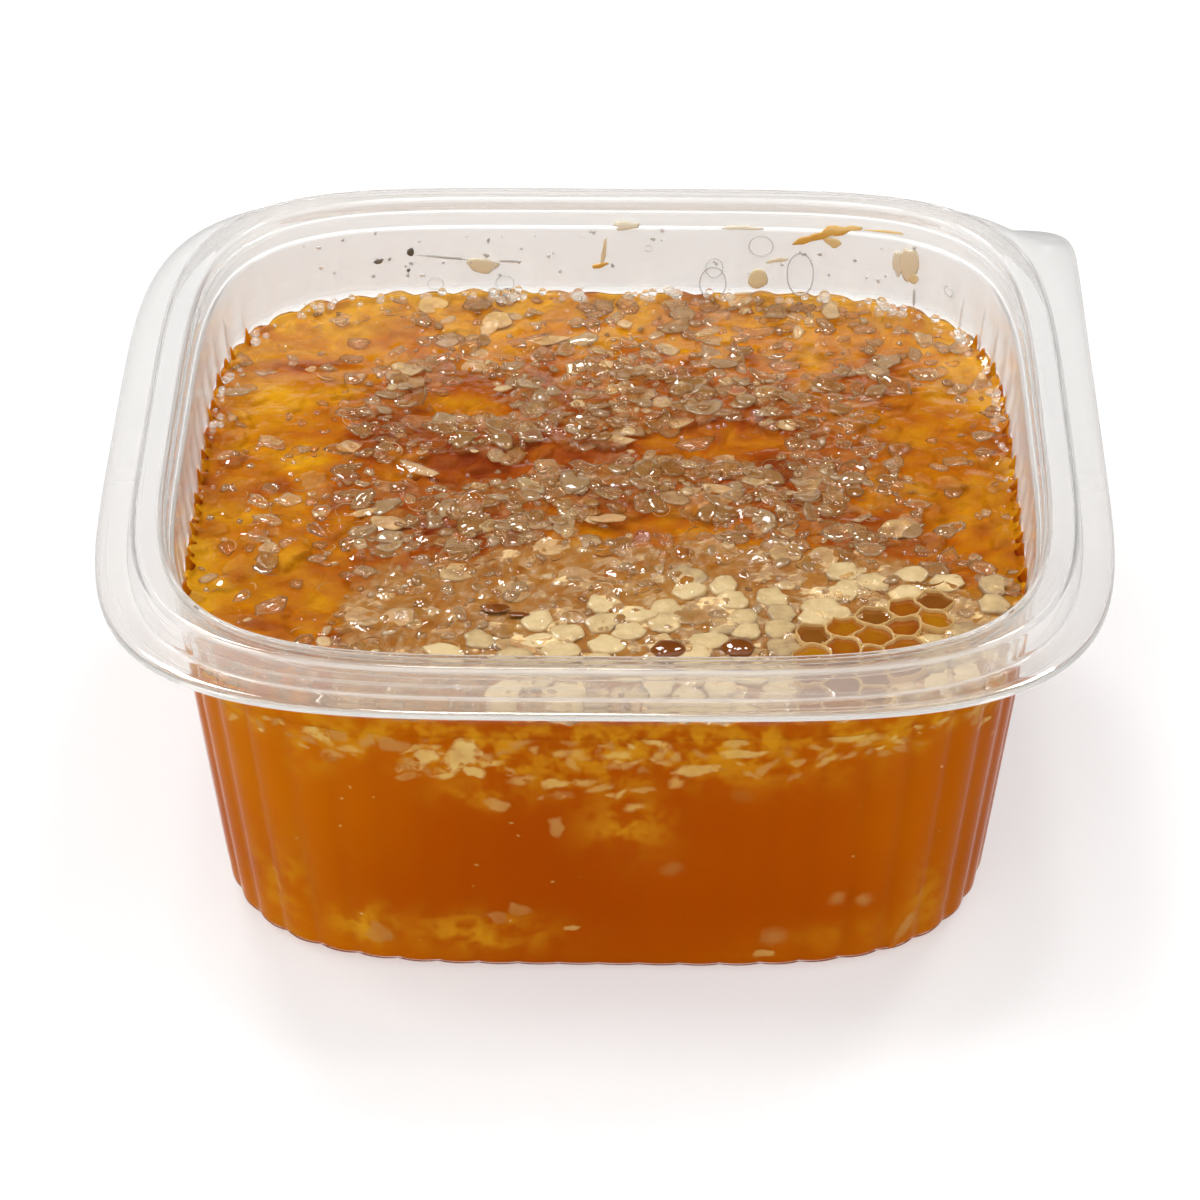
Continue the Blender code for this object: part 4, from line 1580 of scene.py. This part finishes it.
# Yellow clouds of pollen and wax behind the wall: X, height, half width, half height (mm), strength.
CLOUDS = (
    (-36.2, 7.7, 5.5, 4.5, 1.0),
    (-18.6, 7.5, 11.0, 4.5, 0.8),
    (-18.1, 36.0, 7.0, 3.0, 0.7),
    (3.5, 30.2, 7.0, 6.5, 0.7),
    (-44.0, 42.0, 5.0, 5.0, 0.6),
    (22.0, 42.0, 20.0, 5.0, 0.6),
    (49.0, 9.0, 3.0, 8.0, 0.5),
    (-49.0, 12.0, 5.0, 12.0, 0.55),
    (-2.0, 43.0, 30.0, 5.0, 0.55),
    (38.0, 6.0, 10.0, 3.0, 0.35),
)


def band_depth(share):
    """How far down the wall comb reaches, in mm: a shallow V on the front, a thin band elsewhere."""
    front = (share - 0.75 + 0.5) % 1.0 - 0.5
    along = front * PERIMETER / MM
    ripple = 1.2 * np.sin(along * 0.45) + 0.8 * np.sin(along * 1.1 + 1.0)
    return 4.0 + 8.0 * np.exp(-((along / 26.0) ** 2)) + ripple


def face_outward(piece):
    """Shades a piece at the wall as if it were part of the wall's smooth face."""
    points = np.array([point.co[:] for point in piece.data.vertices])
    plan = outline_normal(np.arctan2(points[:, 1], points[:, 0]), BASE_HALF)
    normals = np.column_stack([plan, np.full(len(plan), -WALL_SLOPE)])
    normals /= np.linalg.norm(normals, axis=1)[:, None]
    piece.data.normals_split_custom_set_from_vertices([tuple(normal) for normal in normals])
    store(piece, "cloud", cloud_share(points))
    return piece


def make_wall_flakes(material):
    """Crisp flakes lying against the wall, and a heap of softer ones for the honey just behind them."""
    rng = np.random.default_rng(44)
    heap = Heap("tone", "rim")
    soft = Heap("tone", "rim")
    for x, height, half_wide, half_high, turn, tone in FRONT_FLAKES:
        share = share_at(x, -wall_half(height * MM) / MM)
        add_patch(heap, rng, share, height, half_wide, half_high, math.radians(turn), tone, 0.16, 0.05, 24)
    for _ in range(420):
        share = rng.random()
        front = abs((share - 0.75 + 0.5) % 1.0 - 0.5) < 0.125
        reach = float(band_depth(share))
        height = LEVEL / MM - reach * rng.random() ** 1.3 - 0.6
        size = rng.uniform(0.5, 1.9)
        tone = rng.choice([0.55, 0.68, 0.8]) + rng.normal(0.0, 0.05)
        if not front and rng.random() < 0.35:
            continue
        turn = rng.normal(0.0, 0.5)
        add_patch(soft, rng, share, height, size * rng.uniform(1.0, 1.7), size * 0.75, turn, tone, 0.24, 0.03, 14)
    return face_outward(heap.make("wall_flakes", material)), soft


def make_sunk_wax(heap, material):
    """Scraps, platelets and specks seen through honey near the wall, with soft edges."""
    rng = np.random.default_rng(45)
    for x, height, radius, tone in PLATELETS:
        share = share_at(x, -wall_half(height * MM) / MM)
        add_patch(heap, rng, share, height, radius * 1.08, radius * 0.95, 0.0, tone, 0.02, 0.02, 24)
    for _ in range(90):
        share = rng.random()
        height = rng.uniform(3.0, 38.0)
        size = rng.uniform(0.12, 0.34)
        add_patch(heap, rng, share, height, size * rng.uniform(1.0, 2.2), size, rng.uniform(-1, 1), 0.9, 0.1, 0.05, 8)
    return face_outward(heap.make("sunk_wax", material))


CLINGING_SECTION = (
    (0.0, 0.0),
    (0.25, 0.0),
    (0.5, 0.0),
    (0.75, 0.0),
    (1.0, 0.0),
    (0.98, -0.5),
    (0.5, -0.8),
    (0.0, -1.2),
)


def add_clinging(heap, shares, rise):
    """A closed strip of honey on the inside of the wall, from just under the surface up to a height for each share."""
    rings = []
    for up, lift in CLINGING_SECTION:
        lift = lift * np.minimum(1.0, rise / (1.5 * MM))
        rings.append(on_wall(shares, LEVEL - 0.3 * MM + rise * up, lift * MM))
    count, columns = len(rings), len(shares)
    faces = []
    for ring in range(count):
        here, after = ring * columns, (ring + 1) % count * columns
        faces.extend((here + i, here + i + 1, after + i + 1, after + i) for i in range(columns - 1))
    faces.append(tuple(ring * columns for ring in range(count)))
    faces.append(tuple((count - 1 - ring) * columns + columns - 1 for ring in range(count)))
    points = np.concatenate(rings)
    low = np.clip(1.0 - (points[:, 2] - LEVEL) / (4.0 * MM), 0.0, 1.0)
    heap.add(points, faces, cloud=0.35 + 0.45 * low)


def make_clinging_honey(material):
    """Honey clinging to the inside of the wall: a ragged band at the front, and teeth between the side flutes."""
    heap = Heap("cloud")
    shares = np.linspace(0.615, 0.885, 241)
    along = (shares - 0.75) * PERIMETER / MM
    ends = np.clip((0.135 - np.abs(shares - 0.75)) / 0.03, 0.0, 1.0) ** 0.7
    ragged = 0.5 * np.sin(along * 0.31) + 0.35 * np.sin(along * 0.83 + 2.0) + 0.2 * np.sin(along * 2.3 + 1.0)
    add_clinging(heap, shares, np.maximum(3.6 + ragged, 0.4) * ends * MM)
    for middle in (0.0, 0.5):
        shares = np.linspace(middle - 0.125, middle + 0.125, 321)
        phase = shares * FLUTES * 2.0 + 0.3 * np.sin(shares * 61.0)
        tooth = np.clip(1.0 - 2.6 * np.abs(np.mod(phase, 1.0) - 0.5), 0.0, 1.0) ** 1.3
        tall = 0.5 + 0.5 * np.sin(np.floor(phase) * 2.4 + middle)
        ends = np.clip((0.125 - np.abs(shares - middle)) / 0.02, 0.0, 1.0)
        add_clinging(heap, shares, (0.35 + (0.7 + 1.9 * tall) * tooth) * ends * MM)
    return heap.make("clinging_honey", material)


# ---------------------------------------------------------------- residue on the inside of the back wall


def inner_half(height):
    """Half width of the tub's bare inside face above the honey."""
    steps = (0.0, PLUG_BOTTOM, PLUG_TOP, SEAT_TOP)
    plug = wall_half(PLUG_BOTTOM)
    return np.interp(height, steps, (wall_half(0.0), plug, plug + 0.5 * MM, plug + 1.5 * MM))


def add_smear(heap, rng, x, height, half_wide, half_high, turn, tone, ragged, columns=16, ring=0.0):
    """A smear on the inside of the back wall, in mm; a ring is a bubble's outline of that thickness."""
    thick = 0.14 * MM
    if ring:
        profile = ((1.0, -thick), (1.0, 0.4 * thick), (1.0 - 0.5 * ring, thick), (1.0 - ring, 0.4 * thick), (1.0 - ring, -thick))
        points, faces, _ = tube(columns, profile)
    else:
        profile = ((0.0, thick), (0.5, thick), (0.85, 0.7 * thick), (1.0, 0.0), (0.9, -thick), (0.0, -thick))
        points, faces, _ = disc(columns, profile, ragged_edge(rng, 1.7 * ragged))
    u, v = points[:, 0] * half_wide, points[:, 1] * half_high
    across = u * math.cos(turn) - v * math.sin(turn)
    up = u * math.sin(turn) + v * math.cos(turn)
    heights = (height + up) * MM
    angle = np.arctan2(inner_half(heights), (x + across) * MM)
    for _ in range(4):
        radius = outline_radius(angle, inner_half(heights) - points[:, 2])
        angle = angle + (radius * np.cos(angle) - (x + across) * MM) / (radius * np.abs(np.sin(angle)) + 1e-6)
    radius = outline_radius(angle, inner_half(heights) - points[:, 2])
    mapped = np.column_stack([radius * np.cos(angle), radius * np.sin(angle), heights])
    heap.add(mapped, [face[::-1] for face in faces], tone=tone)


# Left on the back wall: X, height, half width, half height (mm), turn (degrees), tone, raggedness.
SMEARS = (
    (-39.1, 53.7, 0.75, 0.5, 15.0, 0.02, 0.1),
    (-33.7, 55.1, 0.65, 0.75, 20.0, 0.0, 0.05),
    (-34.1, 51.8, 0.35, 0.35, 0.0, 0.03, 0.1),
    (-40.0, 51.1, 0.3, 0.3, 0.0, 0.05, 0.1),
    (-28.2, 54.0, 4.2, 0.2, -6.0, 0.17, 0.1),
    (-17.0, 53.2, 2.0, 0.22, 0.0, 0.17, 0.1),
    (-21.6, 52.4, 2.4, 1.5, 5.0, 0.52, 0.1),
    (-21.0, 54.3, 0.5, 0.4, 0.0, 0.2, 0.1),
    (-20.6, 57.0, 0.25, 0.5, 0.0, 0.15, 0.1),
    (-1.2, 55.0, 0.4, 2.4, -5.0, 0.55, 0.1),
    (-1.9, 52.5, 1.3, 0.5, 10.0, 0.9, 0.1),
    (33.2, 58.0, 2.6, 0.7, 22.0, 0.9, 0.15),
    (36.6, 59.2, 3.2, 1.0, 12.0, 0.86, 0.16),
    (37.2, 57.6, 1.4, 0.9, 0.0, 0.66, 0.12),
    (40.2, 60.2, 2.2, 0.35, 6.0, 0.8, 0.12),
    (46.0, 60.4, 3.2, 0.16, 2.0, 0.7, 0.1),
    (49.9, 55.6, 1.5, 3.2, 0.0, 0.5, 0.08),
    (48.0, 55.2, 0.7, 2.6, 0.0, 0.47, 0.08),
    (50.7, 53.2, 0.8, 1.0, 0.0, 0.62, 0.03),
    (50.9, 49.8, 0.22, 1.6, 0.0, 0.2, 0.02),
    (24.8, 50.3, 1.6, 1.9, 0.0, 0.58, 0.04),
    (28.0, 53.8, 1.6, 0.5, 14.0, 0.48, 0.12),
    (41.0, 54.6, 0.35, 0.2, 0.0, 0.12, 0.1),
    (2.6, 59.8, 2.6, 0.6, 4.0, 0.47, 0.15),
    (22.0, 59.6, 2.8, 0.4, 0.0, 0.45, 0.15),
)

# Outlines of bubbles on the back wall: X, height, half width, half height (mm).
BUBBLES = (
    (25.2, 56.3, 2.1, 1.9),
    (17.4, 52.2, 1.5, 1.8),
    (31.9, 51.4, 2.3, 4.0),
    (6.3, 55.7, 0.65, 0.6),
    (56.4, 53.2, 0.7, 0.9),
    (-17.9, 49.2, 1.6, 1.4),
    (-29.6, 49.2, 1.4, 1.1),
    (17.2, 49.4, 2.3, 3.0),
)


def make_residue(material):
    rng = np.random.default_rng(60)
    heap = Heap("tone")
    for x, height, half_wide, half_high, turn, tone, ragged in SMEARS:
        add_smear(heap, rng, x, height, half_wide, half_high, math.radians(turn), tone, ragged)
    for x, height, half_wide, half_high in BUBBLES:
        add_smear(heap, rng, x, height, half_wide, half_high, 0.0, 0.24, 0.0, 28, ring=0.07)
    for _ in range(46):
        x = rng.uniform(-52.0, 52.0)
        size = rng.uniform(0.12, 0.4)
        add_smear(heap, rng, x, rng.uniform(50.5, 59.0), size, size, 0.0, rng.uniform(0.1, 0.4), 0.1, 8)
    return heap.make("wall_residue", material)


# ---------------------------------------------------------------- stage



# Light from all round, and the dimmer light from low behind that still honey mirrors to the front.
WORLD_LIGHT = 0.68
DIM_LIGHT = 0.02


def make_stage():
    floor_material, tree, output = new_material("studio_floor")
    shader = node(tree, "ShaderNodeBsdfPrincipled", **{"Roughness": 0.9, "Specular IOR Level": 0.0})
    shader.inputs["Base Color"].default_value = (0.6, 0.6, 0.6, 1.0)
    shader.inputs["Emission Color"].default_value = (1.0, 1.0, 1.0, 1.0)
    shader.inputs["Emission Strength"].default_value = 0.45
    tree.links.new(shader.outputs[0], output.inputs["Surface"])
    reach = 4.0
    corners = [(-reach, -reach, 0), (reach, -reach, 0), (reach, reach, 0), (-reach, reach, 0)]
    floor = mesh_object("floor", corners, [(0, 1, 2, 3)], floor_material, smooth=False)
    floor.location.z = -0.00005

    world = bpy.data.worlds.new("studio")
    bpy.context.scene.world = world
    world.use_nodes = True
    tree = world.node_tree
    background = tree.nodes["Background"]
    background.inputs["Color"].default_value = (1.0, 1.0, 1.0, 1.0)
    split = node(tree, "ShaderNodeSeparateXYZ")
    tree.links.new(node(tree, "ShaderNodeTexCoord").outputs["Generated"], split.inputs[0])
    behind = math_node(tree, "MULTIPLY", math_node(tree, "ADD", split.outputs["Y"], 0.05), 4.0, clamp=True)
    dim = math_node(tree, "MULTIPLY", behind, WORLD_LIGHT - DIM_LIGHT)
    tree.links.new(math_node(tree, "SUBTRACT", WORLD_LIGHT, dim), background.inputs["Strength"])

    def softbox(name, place, size, power):
        light = bpy.data.lights.new(name, "AREA")
        light.shape = "RECTANGLE"
        light.size, light.size_y = size
        light.energy = power
        lamp = bpy.data.objects.new(name, light)
        lamp.location = place
        lamp.rotation_euler = (Vector((0.0, 0.0, 0.03)) - Vector(place)).to_track_quat("-Z", "Y").to_euler()
        bpy.context.scene.collection.objects.link(lamp)

    softbox("key_left", (-0.45, 0.08, 0.92), (0.2, 0.2), 1.4)
    softbox("strip_left", (-0.80, 0.03, 0.55), (0.06, 0.3), 0.3)
    softbox("strip_right", (0.80, 0.1, 0.55), (0.05, 0.3), 0.3)
    softbox("window_left", (-0.32, 0.62, 0.86), (0.2, 0.18), 2.9)
    softbox("window_right", (0.42, 0.48, 0.92), (0.18, 0.17), 2.1)
    softbox("window_top", (-0.06, 0.30, 1.08), (0.15, 0.15), 1.5)
    softbox("front_fill", (-0.3, -0.8, 0.6), (0.5, 0.5), 1.1)


def make_camera():
    """At the picture's angle: nearly square on, 34 degrees above, through a long lens."""
    elevation = math.radians(33.7)
    azimuth = math.radians(0.68)
    distance = 0.785
    lens = 147.2
    view = Vector((-math.sin(azimuth) * math.cos(elevation), math.cos(azimuth) * math.cos(elevation), -math.sin(elevation)))
    right = Vector((math.cos(azimuth), math.sin(azimuth), 0.0))
    up = right.cross(view)
    aim = Vector((0.0, 0.0, 0.03)) - right * 0.00107 - up * 0.00139
    camera_data = bpy.data.cameras.new("camera")
    camera_data.lens = lens
    camera_data.sensor_width = 36.0
    camera_data.clip_start = 0.01
    camera = bpy.data.objects.new("camera", camera_data)
    camera.location = aim - view * distance
    camera.rotation_euler = view.to_track_quat("-Z", "Y").to_euler()
    bpy.context.scene.collection.objects.link(camera)
    bpy.context.scene.camera = camera


def settle(piece, slot, *nodes):
    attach(piece, BODY)
    if nodes:
        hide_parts(*nodes)


make_camera()
make_stage()
bpy.context.scene.view_settings.view_transform = "Standard"

settle(make_tub(plastic_material()), "clear_plastic", "tub")
honey_side = honey_material()
settle(make_honey(honey_side), "honey", "honey")
wet_comb = wet_material("wet_comb")
wet_wax = wet_material("wet_wax")
jelly_wax = jelly_material("jelly_wax")
pale_wax = wet_material("pale_wax", coat=0.4, roughness=0.4, bump_strength=0.35, mottle=0.42)
bare_honey = wet_material("bare_honey", coat=1.0, bump_strength=0.15)
crushed, relief = make_crushed_comb(wet_comb)
settle(crushed, "comb_wax", "comb_back")
settle(make_caps(relief, pale_wax), "comb_wax", "comb_front")
settle(make_flakes(relief, jelly_wax), "comb_wax")
settle(make_threads(relief, wet_wax), "comb_wax")
settle(make_curls(relief, pale_wax), "comb_wax")
cells, wells = make_open_cells(pale_wax, bare_honey)
settle(cells, "comb_wax")
settle(wells, "honey")
settle(make_film(relief, clear_material("clear_honey", coat=0.5)), "honey")
settle(make_drops(relief, clear_material("honey_bubbles", strength=0.1)), "honey")
settle(make_froth(relief, clear_material("froth", milk=0.1, strength=0.1)), "honey")
settle(make_blisters(relief, bare_honey), "honey")
wall_flakes, sunk = make_wall_flakes(walled_material("walled_wax", 0.55))
settle(wall_flakes, "comb_wax")
settle(make_sunk_wax(sunk, walled_material("sunk_wax", 0.2)), "comb_wax")
settle(make_clinging_honey(honey_side), "honey")
settle(make_residue(residue_material()), "honey")
